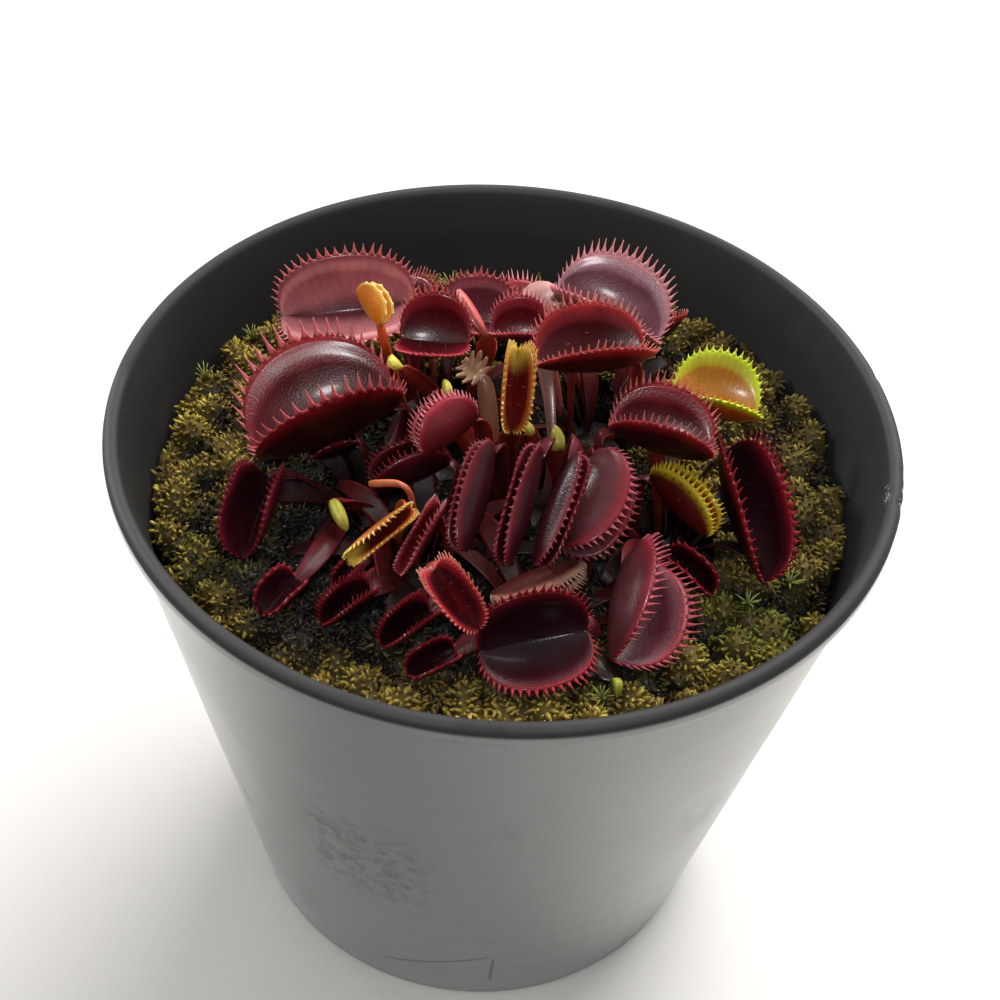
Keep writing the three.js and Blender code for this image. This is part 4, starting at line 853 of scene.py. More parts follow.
def moss_bed(clump):
    """The moss layer's own solid, made fine, with its top swollen into clumps of moss."""
    source = frame["nodes"]["moss_layer"].data.copy()
    work = bmesh.new()
    work.from_mesh(source)
    bmesh.ops.remove_doubles(work, verts=work.verts, dist=0.01 * MM)
    bmesh.ops.recalc_face_normals(work, faces=work.faces)
    bmesh.ops.subdivide_edges(work, edges=work.edges, cuts=5, use_grid_fill=True)
    crown = work.verts.layers.float.new("crown")
    top = [v for v in work.verts if v.co.z > (MEDIUM_TOP + 4) * MM]
    for _ in range(4):
        bmesh.ops.smooth_vert(work, verts=top, factor=0.5, use_axis_x=False, use_axis_y=False,
                              use_axis_z=True)
    work.normal_update()
    wall = wall_radius(MEDIUM_TOP + 8) - WALL - 0.6
    # Unseeded, the vector noise takes its offsets from the clock.
    noise.seed_set(WARP_SEED)
    for v in top:
        spot = v.co / MM
        warp = noise.noise_vector(spot / 5) * 1.2
        dome = mound(spot.x + warp.x, spot.y + warp.y, clump, 1.5)
        knob = mound(spot.x - warp.y, spot.y + warp.x, 0.36 * clump, 4.5)
        v[crown] = 0.65 * dome + 0.35 * knob
        spot += v.normal * (3.0 * dome + 0.7 * knob - 2.3)
        away = math.hypot(spot.x, spot.y)
        if away > wall:
            spot.x *= wall / away
            spot.y *= wall / away
        v.co = spot * MM
    work.to_mesh(source)
    work.free()
    return finished("moss_bed", source)


def make_branch(name, seed):
    """One moss branchlet: short, plump, blunt and a little bent."""
    rng = random.Random(seed)
    form = Form("tip")
    s = np.array([0.0, 0.5, 1.0])
    bend = rng.uniform(0.1, 0.35)
    line = np.stack([bend * s ** 2, 0 * s, 0.88 * s - 0.24], axis=-1)
    body = rng.uniform(0.19, 0.26) * np.array([0.75, 1.0, 0.42])
    tube(form, line, body, body, np.tile((1.0, 0, 0), (3, 1)), np.tile((0, 1.0, 0), (3, 1)), sides=4, tip=s)
    return form.piece(name, merge=1e-5)


def scatter_tree(collection, material):
    """Geometry nodes that set branchlets over one side of a bed, turned and sized at random."""
    tree = bpy.data.node_groups.new("Moss branchlets", "GeometryNodeTree")
    face = tree.interface
    face.new_socket("Geometry", in_out="INPUT", socket_type="NodeSocketGeometry")
    for label, default in (("Spacing", 0.6 * MM), ("Density", 4.0e6), ("Smallest", 0.75), ("Largest", 1.35),
                           ("Lowest", 60 * MM), ("Furthest", 41 * MM), ("Side", 1.0), ("Tilt", 0.6)):
        face.new_socket(label, in_out="INPUT", socket_type="NodeSocketFloat").default_value = default
    face.new_socket("Seed", in_out="INPUT", socket_type="NodeSocketInt").default_value = 1
    face.new_socket("Geometry", in_out="OUTPUT", socket_type="NodeSocketGeometry")
    given = tree.nodes.new("NodeGroupInput").outputs
    position = tree.nodes.new("GeometryNodeInputPosition").outputs[0]
    here = add_node(tree, "ShaderNodeSeparateXYZ", {0: position})
    up = add_node(tree, "ShaderNodeSeparateXYZ", {0: tree.nodes.new("GeometryNodeInputNormal").outputs[0]})
    flat = add_node(tree, "ShaderNodeCombineXYZ", {0: here.outputs[0], 1: here.outputs[1]})
    away = add_node(tree, "ShaderNodeVectorMath", {0: flat.outputs[0]}, operation="LENGTH").outputs["Value"]
    sided = times(tree, here.outputs[0], given["Side"])
    tests = ((here.outputs[2], given["Lowest"], "GREATER_THAN"), (up.outputs[2], 0.1, "GREATER_THAN"),
             (away, given["Furthest"], "LESS_THAN"), (sided, 0.0, "GREATER_THAN"))
    chosen = None
    for value, limit, operation in tests:
        test = add_node(tree, "FunctionNodeCompare", {0: value, 1: limit}, data_type="FLOAT",
                        operation=operation).outputs[0]
        chosen = test if chosen is None else add_node(
            tree, "FunctionNodeBooleanMath", {0: chosen, 1: test}, operation="AND").outputs[0]
    spots = add_node(tree, "GeometryNodeDistributePointsOnFaces",
                     {"Mesh": given["Geometry"], "Selection": chosen, "Distance Min": given["Spacing"],
                      "Density Max": given["Density"], "Seed": given["Seed"]}, distribute_method="POISSON")
    shapes = add_node(tree, "GeometryNodeCollectionInfo", {"Collection": collection,
                      "Separate Children": True, "Reset Children": True})
    size = add_node(tree, "FunctionNodeRandomValue", {2: given["Smallest"], 3: given["Largest"],
                    "Seed": given["Seed"]}, data_type="FLOAT").outputs[1]
    tilt = add_node(tree, "ShaderNodeCombineXYZ", {0: given["Tilt"], 1: given["Tilt"], 2: 3.1416}).outputs[0]
    back = add_node(tree, "ShaderNodeVectorMath", {0: tilt, 1: (-1.0, -1.0, -1.0)},
                    operation="MULTIPLY").outputs[0]
    spin = add_node(tree, "FunctionNodeRandomValue", {0: back, 1: tilt, "Seed": 3},
                    data_type="FLOAT_VECTOR").outputs[0]
    turned = add_node(tree, "FunctionNodeRotateRotation", {0: spots.outputs["Rotation"], 1: spin},
                      rotation_space="LOCAL").outputs[0]
    placed = add_node(tree, "GeometryNodeInstanceOnPoints",
                      {"Points": spots.outputs["Points"], "Instance": shapes.outputs[0],
                       "Pick Instance": True, "Rotation": turned, "Scale": size}).outputs[0]
    luck = add_node(tree, "FunctionNodeRandomValue", {2: 0.0, 3: 1.0, "Seed": 5},
                    data_type="FLOAT").outputs[1]
    noted = add_node(tree, "GeometryNodeStoreNamedAttribute", {"Geometry": placed, "Name": "luck",
                     "Value": luck}, data_type="FLOAT", domain="INSTANCE").outputs[0]
    real = add_node(tree, "GeometryNodeRealizeInstances", {0: noted}).outputs[0]
    painted = add_node(tree, "GeometryNodeSetMaterial", {"Geometry": real, "Material": material}).outputs[0]
    add_node(tree, "NodeGroupOutput", {0: painted})
    return tree


def scatter(bed, name, tree, **values):
    """Runs the scatter tree over a copy of a bed and returns the branchlets as a plain mesh object."""
    piece = bpy.data.objects.new(name, bed.data.copy())
    bpy.context.scene.collection.objects.link(piece)
    modifier = piece.modifiers.new("Scatter", "NODES")
    modifier.node_group = tree
    for item in tree.interface.items_tree:
        if item.in_out == "INPUT" and item.name in values:
            modifier[item.identifier] = values[item.name]
    bake_modifiers(piece)
    piece.data.shade_smooth()
    return piece


# Where the clump shades the moss: the middle of each patch, its full shade and its end.
SHADES = ((-4, -6, 20, 28), (-16, -22, 7, 13))


def shade_mask(tree, place, patches):
    """How deep a spot lies in the shade of the clump, 0 in the open and 1 under it."""
    wander = times(tree, calc(tree, "SUBTRACT", patches, 0.5), 22 * MM)
    shade = None
    for x, y, inner, outer in SHADES:
        middle = add_node(tree, "ShaderNodeVectorMath", {0: place, 1: (x * MM, y * MM, 0.066)},
                          operation="SUBTRACT").outputs[0]
        away = add_node(tree, "ShaderNodeVectorMath", {0: middle}, operation="LENGTH").outputs["Value"]
        patch = between(tree, plus(tree, away, wander), inner * MM, outer * MM, 1.0, 0.0)
        shade = patch if shade is None else calc(tree, "MAXIMUM", shade, patch)
    return shade


def moss_material(bright, dull, heads):
    """Damp moss: bright yellow-green tips, painted shade in the hollows between mounds and under the clump,
    and painted highlights on the mound tops.
    """
    material, tree, shader = new_material("Moss heads" if heads else "Moss bed")
    place = place_of(tree)
    luck = mark(tree, "luck")
    tip = mark(tree, "tip")
    patches = grain(tree, place, 75, 3)
    fine = grain(tree, place, 1500, 4)
    mid = grain(tree, place, 420, 3)
    kind = plus(tree, times(tree, luck, 0.5), times(tree, patches, 0.7))
    base = mixed(tree, between(tree, kind, 0.35, 0.85), dull, bright)
    green = mixed(tree, between(tree, grain(tree, place, 50, 2, (1.3, 0.8, 1)), 0.5, 0.62), base,
                  tint(78, 92, 26))
    varied = mixed(tree, between(tree, mid, 0.35, 0.7, 0.0, 0.7), green, tint(66, 50, 20))
    crown = mark(tree, "crown")
    # Painted shade in the creases between the mounds, and a painted highlight on the mound tops.
    painted_mound_shading = mixed(tree, between(tree, crown, 0.3, 0.8), tint(28, 19, 7), varied)
    painted_mound_shading = mixed(tree, between(tree, crown, 0.72, 0.95, 0.0, 0.5), painted_mound_shading, tint(226, 204, 96))
    # Painted shade: each branchlet darkens towards its base, down among the others.
    painted_base_shade = mixed(tree, between(tree, tip, 0.0, 0.9), mixed(tree, 0.5, painted_mound_shading, tint(30, 20, 8)), painted_mound_shading)
    pale = mixed(tree, times(tree, between(tree, fine, 0.5, 0.72), between(tree, tip, 0.4, 1.0)),
                 painted_base_shade, tint(208, 186, 86))
    split = add_node(tree, "ShaderNodeSeparateXYZ", {0: place}).outputs
    roam = times(tree, calc(tree, "SUBTRACT", patches, 0.5), 0.03)
    # Painted shade darkens the right side and painted light brightens the front; green cushions lie near the
    # front.
    cushion = times(tree, near(tree, split[0], 0.029, 0.003, 0.009),
                    near(tree, split[1], -0.02, 0.003, 0.009))
    # Green cushions, with painted shade in their creases.
    cushion_green_with_crease_shade = mixed(tree, between(tree, crown, 0.3, 0.9), tint(12, 16, 4), tint(110, 126, 36))
    pale = mixed(tree, times(tree, cushion, 0.7), pale, cushion_green_with_crease_shade)
    right = between(tree, plus(tree, split[0], roam), 0.022, 0.034, 0.0, 0.65)
    pale = mixed(tree, right, pale, mixed(tree, 0.6, pale, tint(20, 20, 7)))
    front = between(tree, plus(tree, split[1], roam), -0.036, -0.027, 0.75, 0.0)
    pale = mixed(tree, front, pale, mixed(tree, 0.45, pale, tint(236, 200, 96)))
    # Painted shade under the clump: the heads and the bed turn dark where the clump would shade them.
    dark = shade_mask(tree, place, patches)
    if heads:
        colour = mixed(tree, times(tree, dark, 0.9), pale, tint(27, 14, 11))
    else:
        # Painted shade in the creases between the mounds of the bed.
        ground = mixed(tree, between(tree, crown, 0.3, 0.8), tint(18, 13, 6), tint(88, 74, 28))
        colour = mixed(tree, dark, ground, tint(16, 11, 8))
    tree.links.new(colour, shader.inputs["Base Color"])
    tree.links.new(between(tree, fine, 0.35, 0.7, 0.8, 0.35), shader.inputs["Roughness"])
    shader.inputs["Specular IOR Level"].default_value = 0.12
    if heads:
        constants(shader, {"Subsurface Weight": 0.2, "Subsurface Scale": 0.8 * MM,
                           "Subsurface Radius": (0.8, 0.7, 0.2), "Coat Weight": 0.08, "Coat Roughness": 0.12})
    bumped(tree, shader, fine, 0.2)
    return material


def make_moss(clump, spacing, bright, dull):
    """The bed and the branchlets on it. The branchlets are two pieces, to keep each one light."""
    material = moss_material(bright, dull, True)
    bed = dress(moss_bed(clump), moss_material(bright, dull, False), "sphagnum", "moss_layer")
    shapes = bpy.data.collections.new("Moss branchlets")
    for i in range(4):
        shape = make_branch(f"branchlet_{i}", 40 + i)
        bpy.context.scene.collection.objects.unlink(shape)
        shapes.objects.link(shape)
    tree = scatter_tree(shapes, material)
    for name, side in (("moss_left", -1.0), ("moss_right", 1.0)):
        piece = scatter(bed, name, tree, Spacing=spacing * MM, Side=side, Seed=4,
                        Lowest=(MEDIUM_TOP + 3) * MM, Furthest=(wall_radius(MEDIUM_TOP + 8) - WALL - 1) * MM)
        dress(piece, material, "sphagnum")
    for shape in list(shapes.objects):
        bpy.data.objects.remove(shape)


# ------------------------------------------------------------------ rhizomes
def make_rhizome(name, spot, seed):
    """A short white rhizome wrapped in old leaf bases, with wavy roots."""
    rng = random.Random(seed)
    form = Form("high")
    bottom = RHIZOME_TOP - RHIZOME_DEPTH
    turns, rows = 36, 34
    angle = unit_turns(turns)
    z = np.linspace(0, 1, rows)
    profile = np.interp(z, (0, 0.04, 0.27, 0.8, 0.97, 1), (0.02, 0.45, 0.75, 1, 0.96, 0.8)) * RHIZOME_RADIUS
    phase = 5 * angle[None] + 9 * z[:, None]
    profile = profile[:, None] * (1 - 0.05 * (0.5 + 0.5 * np.sin(phase)) * smooth_step(0.2, 0.5, z)[:, None])
    ring = np.stack([spot[0] + profile * np.cos(angle), spot[1] + profile * np.sin(angle),
                     np.repeat((bottom + z * RHIZOME_DEPTH)[:, None], turns, 1)], axis=-1)
    faces = grid_faces(rows, turns, wrap=True)
    faces += [tuple(range(turns)), tuple((rows - 1) * turns + j for j in range(turns))]
    form.add(ring, faces, high=np.repeat(z, turns))
    start = rng.uniform(0, math.tau)
    for i in range(ROOTS):
        a = start + i * math.tau / ROOTS
        s = np.linspace(0, 1, 18)
        sway = 0.7 * s * np.sin(5 * s + rng.uniform(0, 6))
        line = np.stack([spot[0] + ROOT_OFFSET * math.cos(a) + sway,
                         spot[1] + ROOT_OFFSET * math.sin(a) + 0.6 * sway,
                         bottom + ROOT_START - rng.uniform(*ROOT_LENGTH) * s], axis=-1)
        thick = ROOT_RADIUS * (1 - 0.7 * s)
        tube(form, line, thick, thick, np.tile((1.0, 0, 0), (18, 1)), np.tile((0, 1.0, 0), (18, 1)), 6)
    return form.piece(name)


def rhizome_material(colour):
    material, tree, shader = new_material("Rhizome")
    place = place_of(tree)
    high = between(tree, mark(tree, "high"), 0.72, 0.95)
    lines = grain(tree, place, 700, 3, (1, 1, 0.2))
    pale = mixed(tree, between(tree, lines, 0.4, 0.7, 0.0, 0.5), colour, tint(170, 150, 110))
    tree.links.new(mixed(tree, high, pale, tint(48, 26, 20)), shader.inputs["Base Color"])
    shader.inputs["Roughness"].default_value = 0.55
    bumped(tree, shader, lines, 0.2)
    return material


# ------------------------------------------------------------------ traps
LEAF_MARKS = ("reach", "along", "inside", "tooth", "stalk")


class TrapAxes:
    """A trap's own axes: along its hinge, the way it opens, and across from lobe to lobe."""

    def __init__(self, leaf):
        self.base, self.tip = np.array(leaf["base"], float), np.array(leaf["tip"], float)
        self.length = np.linalg.norm(self.tip - self.base)
        self.along = (self.tip - self.base) / self.length
        azimuth, height = np.radians(leaf["faces"])
        opens = np.array([math.cos(height) * math.cos(azimuth), math.cos(height) * math.sin(azimuth),
                          math.sin(height)])
        self.opens = unit(opens - self.along * (opens @ self.along))
        self.across = np.cross(self.along, self.opens)
        self.middle = (self.base + self.tip) / 2

    def at(self, x, rise, out):
        return (self.middle + np.multiply.outer(x, self.along) + np.multiply.outer(rise, self.opens)
                + np.multiply.outer(out, self.across))


def lobe_points(leaf, axes, side, u, v):
    """The mid-surface of a lobe. u runs -1 to 1 along the hinge and v 0 to 1 from hinge to margin.
    The bowl bulges out as far as the band, which flares to the margin."""
    half, width = axes.length / 2, leaf["width"]
    v = v * (1 - leaf.get("torn", 0) * (0.5 + 0.5 * np.cos(5.5 * np.pi * u)))
    y = width * (np.cos(u * END_ANGLE) - math.cos(END_ANGLE)) / (1 - math.cos(END_ANGLE))
    x = half * u + half * (np.sin(u * END_ANGLE) / math.sin(END_ANGLE) - u) * v
    cup = math.radians(leaf["cup"])
    start = math.radians(leaf["gape"]) / 2 + cup / 2
    turn = start - cup * y * v / width
    rise = width * (math.sin(start) - np.sin(turn)) / cup
    out = width * (np.cos(turn) - math.cos(start)) / cup
    bowl = np.sin(np.pi * np.clip(v / BAND, 0, 1)) + leaf.get("flare", 0.35) * smooth_step(BAND, 1.0, v)
    bulge = leaf.get("bowl", 0.05) * width * (y / width) * bowl
    rise = rise - bulge * np.sin(turn)
    out = out + bulge * np.cos(turn)
    arch = HINGE_ARCH * axes.length * (x / half) ** 2
    return axes.at(x, rise + arch, side * out)


def add_blade(form, leaf, axes, columns, rows):
    """Both lobes as one closed sheet, thinner at its margin."""
    u = np.linspace(-1, 1, columns + 1)[:, None]
    v = np.concatenate([np.linspace(1, 0, rows + 1)[:-1], np.linspace(0, 1, rows + 1)])[None]
    left = lobe_points(leaf, axes, -1, u, v[:, :rows])
    right = lobe_points(leaf, axes, 1, u, v[:, rows:])
    mid = np.concatenate([left, right], axis=1)
    du, dv = np.gradient(mid, axis=0), np.gradient(mid, axis=1)
    for end in (0, -1):
        dv[end] = axes.across
        du[end] = du[end, rows]
    normal = unit(np.cross(du, dv))
    half_thick = (BLADE / 2 * (1 - 0.5 * v ** 2))[..., None]
    wide = 2 * rows + 1
    inner, outer = mid - normal * half_thick, mid + normal * half_thick
    # Quads along each margin join the two sides and close the edge.
    faces = grid_faces(columns + 1, wide)
    count = (columns + 1) * wide
    faces += [tuple(count + c for c in reversed(face)) for face in grid_faces(columns + 1, wide)]
    for j in (0, wide - 1):
        for i in range(columns):
            a, b = i * wide + j, (i + 1) * wide + j
            quad = (a, b, count + b, count + a)
            faces.append(quad if j == 0 else quad[::-1])
    reach = np.broadcast_to(v, mid.shape[:2]).ravel()
    along = np.broadcast_to(u, mid.shape[:2]).ravel()
    form.add(np.concatenate([inner.reshape(-1, 3), outer.reshape(-1, 3)]), faces,
             reach=np.tile(reach, 2), along=np.tile(along, 2), inside=np.repeat((1.0, 0.0), count))


def add_spike(form, root, way, bend, side, length, wide, thick, pale=1.0, **marks):
    """A flat thorn: broad at its root, soon narrow, bent a little towards its tip."""
    s = np.array([-0.12, 0.06, 0.22, 0.45, 0.72, 1.0])
    body = np.array([1.0, 0.86, 0.52, 0.3, 0.17, 0.04])
    centres = root + length * (s[:, None] * way + 0.16 * (np.maximum(s, 0) ** 2)[:, None] * bend)
    flat = unit(np.cross(side, way))
    rows = len(s)
    tube(form, centres, wide * body, thick * np.sqrt(body), np.repeat(side[None], rows, 0),
         np.repeat(flat[None], rows, 0), sides=6, tooth=pale * np.clip(s, 0, 1), **marks)


def add_teeth(form, leaf, axes, rng):
    """The two rows of teeth on the margin, shorter towards the ends of the hinge."""
    count = leaf["count"]
    step = 2 / count
    for side in (-1, 1):
        for k in range(count):
            u = -1 + step * (k + 0.5) + rng.uniform(-0.1, 0.1) * step
            here, before, left, right = (lobe_points(leaf, axes, side, np.array(a), np.array(b)) for a, b in
                                         ((u, 1.0), (u, 0.9), (u - step / 2, 1.0), (u + step / 2, 1.0)))
            way = unit(unit(here - before) + 0.15 * axes.opens + np.array(
                [rng.uniform(-0.06, 0.06) for _ in range(3)]))
            pitch = np.linalg.norm(right - left)
            along = unit(right - left)
            ends = math.sin(math.pi * (k + 0.5) / count)
            length = leaf["teeth"] * (0.45 + 0.55 * ends) * rng.uniform(0.8, 1.15)
            add_spike(form, here, way, -side * axes.across, along, length, 0.46 * pitch, 0.19,
                      reach=1.0, along=u, inside=0.5)


def add_trigger_hairs(form, leaf, axes):
    """Three stiff hairs on the inside of each lobe."""
    for side in (-1, 1):
        for u, v in ((-0.3, 0.42), (0.02, 0.56), (0.32, 0.42)):
            here, above, beside = (lobe_points(leaf, axes, side, np.array(a), np.array(b)) for a, b in
                                   ((u, v), (u, v + 0.05), (u + 0.05, v)))
            across = unit(beside - here)
            inward = unit(np.cross(across, above - here)) * side
            if inward @ axes.opens < 0:
                inward = -inward
            add_spike(form, here, inward, axes.opens, across, 0.13 * leaf["width"] + 0.3, 0.08, 0.08,
                      pale=0.2, reach=0.5, along=u, inside=1.0)


def add_bud(form, leaf, axes, stations=30, sides=24):
    """A trap that has not opened yet: a plump body, creased along its closed margin."""
    u = np.cos(np.linspace(np.pi - 0.02, 0.02, stations))
    angle = unit_turns(sides)
    full = np.sqrt(1 - u ** 2)[:, None]
    away = np.minimum(angle, 2 * np.pi - angle)[None]
    crease = 1 - 0.16 * np.exp(-(away / 0.24) ** 2) + 0.06 * np.exp(-((away - 0.5) / 0.2) ** 2)
    rise = leaf["width"] * full * (0.5 + 0.5 * np.cos(angle)[None] * crease)
    out = leaf["width"] * full * leaf["fat"] * np.sin(angle)[None] * crease
    x = np.repeat((u * axes.length / 2)[:, None], sides, 1)
    points = axes.at(x, rise, out)
    reach = np.repeat((0.5 + 0.5 * np.cos(angle))[None], stations, 0)
    form.add(points, tube_faces(stations, sides), reach=reach.ravel(), along=np.repeat(u, sides))


def stalk_line(leaf, axes, steps):
    """The middle line of a stalk from its rhizome to the hinge, and its own directions."""
    cx, cy = RHIZOMES[leaf["root"]]
    slot = math.radians(leaf["slot"])
    away = np.array([math.cos(slot), math.sin(slot), 0.0])
    foot = np.array([cx, cy, RHIZOME_TOP + CLEAR]) + away * (RHIZOME_RADIUS - STALK_RING)
    end = axes.base + axes.length * (JOIN_ALONG * axes.along + JOIN_RISE * axes.opens)
    reach = np.linalg.norm(end - foot)
    lift = unit(np.array([0.0, 0.0, 1.0]) + STALK_SPLAY * away)
    first = foot + lift * leaf.get("rise", 0.5) * reach
    second = end - axes.along * leaf.get("lead", 0.3 * reach)
    t = np.linspace(0, 1, steps)[:, None]
    line = bend_through(t, foot, first, second, end)
    way = unit(np.gradient(line, axis=0))
    across = np.zeros_like(line)
    side = axes.across
    for i in range(steps - 1, -1, -1):
        side = unit(side - way[i] * (side @ way[i]))
        across[i] = side
    return t[:, 0], line, way, across


def add_stalk(form, leaf, axes, rng, steps=36, sides=14):
    """A winged stalk: a rounded rib with a thin wing on each side of it."""
    t, line, way, across = stalk_line(leaf, axes, steps)
    flat = unit(np.cross(way, across))
    swell = np.sin(np.pi * t ** leaf.get("shoulder", STALK_SHOULDER))
    wide = (STALK_FOOT + (leaf.get("stalk", STALK_WIDTH) - STALK_FOOT) * swell) / 2
    turn = unit_turns(sides)
    x, y = np.cos(turn), np.sin(turn)
    rib = 0.42 + 0.58 * np.exp(-(x / 0.35) ** 2)
    ripple = 0.08 * np.sin(9 * t + rng.uniform(0, 6))[:, None] * x[None] ** 2 * wide[:, None]
    height = STALK_THICK / 2 * (np.sign(y) * np.abs(y) ** 0.7 * rib)[None] + ripple
    points = (line[:, None] + (wide[:, None] * x[None])[..., None] * across[:, None]
              + height[..., None] * flat[:, None])
    form.add(points, tube_faces(steps, sides), stalk=1.0, along=np.repeat(t, sides),
             reach=np.tile(np.abs(x), steps))


def make_leaf(name, leaf):
    """One whole leaf: its stalk and its trap, with teeth and trigger hairs."""
    axes = TrapAxes(leaf)
    rng = random.Random(name)
    form = Form(*LEAF_MARKS)
    if "fat" in leaf:
        add_bud(form, leaf, axes)
    else:
        fine = 2 if leaf["width"] > 6 else 1
        add_blade(form, leaf, axes, 28 + 14 * fine, 10 + 4 * fine)
        if leaf["count"]:
            add_teeth(form, leaf, axes, rng)
            add_trigger_hairs(form, leaf, axes)
    add_stalk(form, leaf, axes, rng)
    return form.piece(f"trap_{name}", merge=1e-5)


def make_old_leaves(count):
    """Narrow old leaves without traps that fan out low round the crowns and lie on the moss."""
    rng = random.Random("old leaves")
    form = Form("edge", "along", "luck")
    steps, sides = 14, 8
    t = np.linspace(0, 1, steps)[:, None]
    turn = unit_turns(sides)
    for root, (cx, cy) in RHIZOMES.items():
        start = rng.uniform(0, math.tau)
        for i in range(0 if root == "middle" else count):
            a = start + math.tau * (i + rng.uniform(-0.3, 0.3)) / count
            away = np.array([math.cos(a), math.sin(a), 0.0])
            reach, lift = rng.uniform(9, 14), rng.uniform(5, 7)
            foot = np.array([cx, cy, RHIZOME_TOP + 2.0]) + 2.6 * away
            end = foot + reach * away + np.array([0, 0, lift])
            end[:2] *= min(1, 34 / math.hypot(end[0], end[1]))
            first = foot + (1.5, 1.5, 4.5) * (away + (0, 0, 1))
            second = end - 5 * away + np.array([0, 0, 2.0])
            line = bend_through(t, foot, first, second, end)
            way = unit(np.gradient(line, axis=0))
            lean = rng.uniform(-0.7, 0.7) * np.cross(away, (0, 0, 1))
            across = unit(np.cross(way, np.array([0, 0, 1.0]) + lean))
            flat = unit(np.cross(across, way))
            wide = rng.uniform(0.9, 1.6) * (0.3 + 0.7 * np.sin(np.pi * (0.06 + 0.9 * t[:, 0]) ** 1.5))
            x, y = np.cos(turn), np.sin(turn)
            points = (line[:, None] + (wide[:, None] * x)[..., None] * across[:, None]
                      + (0.28 * y + 0.3 * wide[:, None] * x ** 2)[..., None] * flat[:, None])
            form.add(points, tube_faces(steps, sides), edge=np.tile(np.abs(x), steps),
                     along=np.repeat(t, sides), luck=rng.random())
    return form.piece("old_leaves")


# Small green shoots of another moss, and one cut leaf stump: where each stands and its size.
SPRIGS = ((-37.5, 12, 66.5, 2.6), (-8.5, 31.5, 68, 3.0), (-11.5, 31.5, 67.5, 2.4), (-33, 20, 67, 2.2),
          (28, -18, 67, 1.8), (33, -14, 66.5, 2.0), (12, -33, 67.5, 1.8))
STUMP = ((-8.6, -12.6, 61.5), (-9.5, -14, 79), (-9, -15, 79), (-14.2, -12.8, 76))


def make_sprigs():
    rng = random.Random("sprigs")
    form = Form("tip")
    s = np.linspace(0, 1, 5)
    for x, y, z, size in SPRIGS:
        for i in range(11):
            a = math.tau * i / 11 + rng.uniform(-0.2, 0.2)
            lean = rng.uniform(0.3, 0.9)
            away = np.array([math.cos(a), math.sin(a), 0.0])
            line = (np.array([x, y, z]) + size * (lean * s ** 1.4)[:, None] * away
                    + size * (s * (1.1 - 0.5 * lean * s))[:, None] * np.array([0, 0, 1.0]))
            body = 0.24 * (1 - 0.85 * s)
            beside = np.array([-away[1], away[0], 0.0])
            tube(form, line, body, 0.35 * body, np.tile(beside, (5, 1)),
                 unit(np.cross(np.gradient(line, axis=0), beside)), sides=5, tip=s)
    return form.piece("moss_sprigs")


def make_stump():
    form = Form("tip")
    steps = 24
    t = np.linspace(0, 1, steps)[:, None]
    foot, first, second, end = (np.array(p, float) for p in STUMP)
    line = bend_through(t, foot, first, second, end)
    way = unit(np.gradient(line, axis=0))
    beside = unit(np.cross(way, (1.0, 0.2, 0)))
    body = np.full(steps, 0.42)
    body[0] = body[-1] = 0.32
    tube(form, line, body, 0.75 * body, beside, unit(np.cross(beside, way)), 12, tip=t[:, 0])
    return form.piece("leaf_stump")


def shoot_material(name, low, high):
    material, tree, shader = new_material(name)
    fibres = grain(tree, place_of(tree), 1200, 3)
    colour = mixed(tree, mark(tree, "tip"), low, high)
    streaked = mixed(tree, between(tree, fibres, 0.4, 0.8, 0.0, 0.4), colour, low)
    tree.links.new(streaked, shader.inputs["Base Color"])
    constants(shader, {"Roughness": 0.5, "Subsurface Weight": 0.2, "Subsurface Scale": 0.5 * MM})
    bumped(tree, shader, fibres, 0.05)
    return material


def old_leaf_material():
    material, tree, shader = new_material("Old leaf")
    place = place_of(tree)
    fibres = grain(tree, place, 900, 4)
    luck = between(tree, mark(tree, "luck"), 0.3, 1.0)
    body = mixed(tree, luck, tint(34, 9, 11), tint(84, 14, 20))
    edge = mixed(tree, luck, tint(70, 14, 18), tint(150, 28, 34))
    edged = mixed(tree, between(tree, mark(tree, "edge"), 0.7, 1.0), body, edge)
    tree.links.new(mixed(tree, between(tree, fibres, 0.4, 0.75, 0.0, 0.5), edged, tint(14, 8, 7)),
                   shader.inputs["Base Color"])
    constants(shader, {"Roughness": 0.5, "Specular IOR Level": 0.12})
    bumped(tree, shader, fibres, 0.12)
    return material


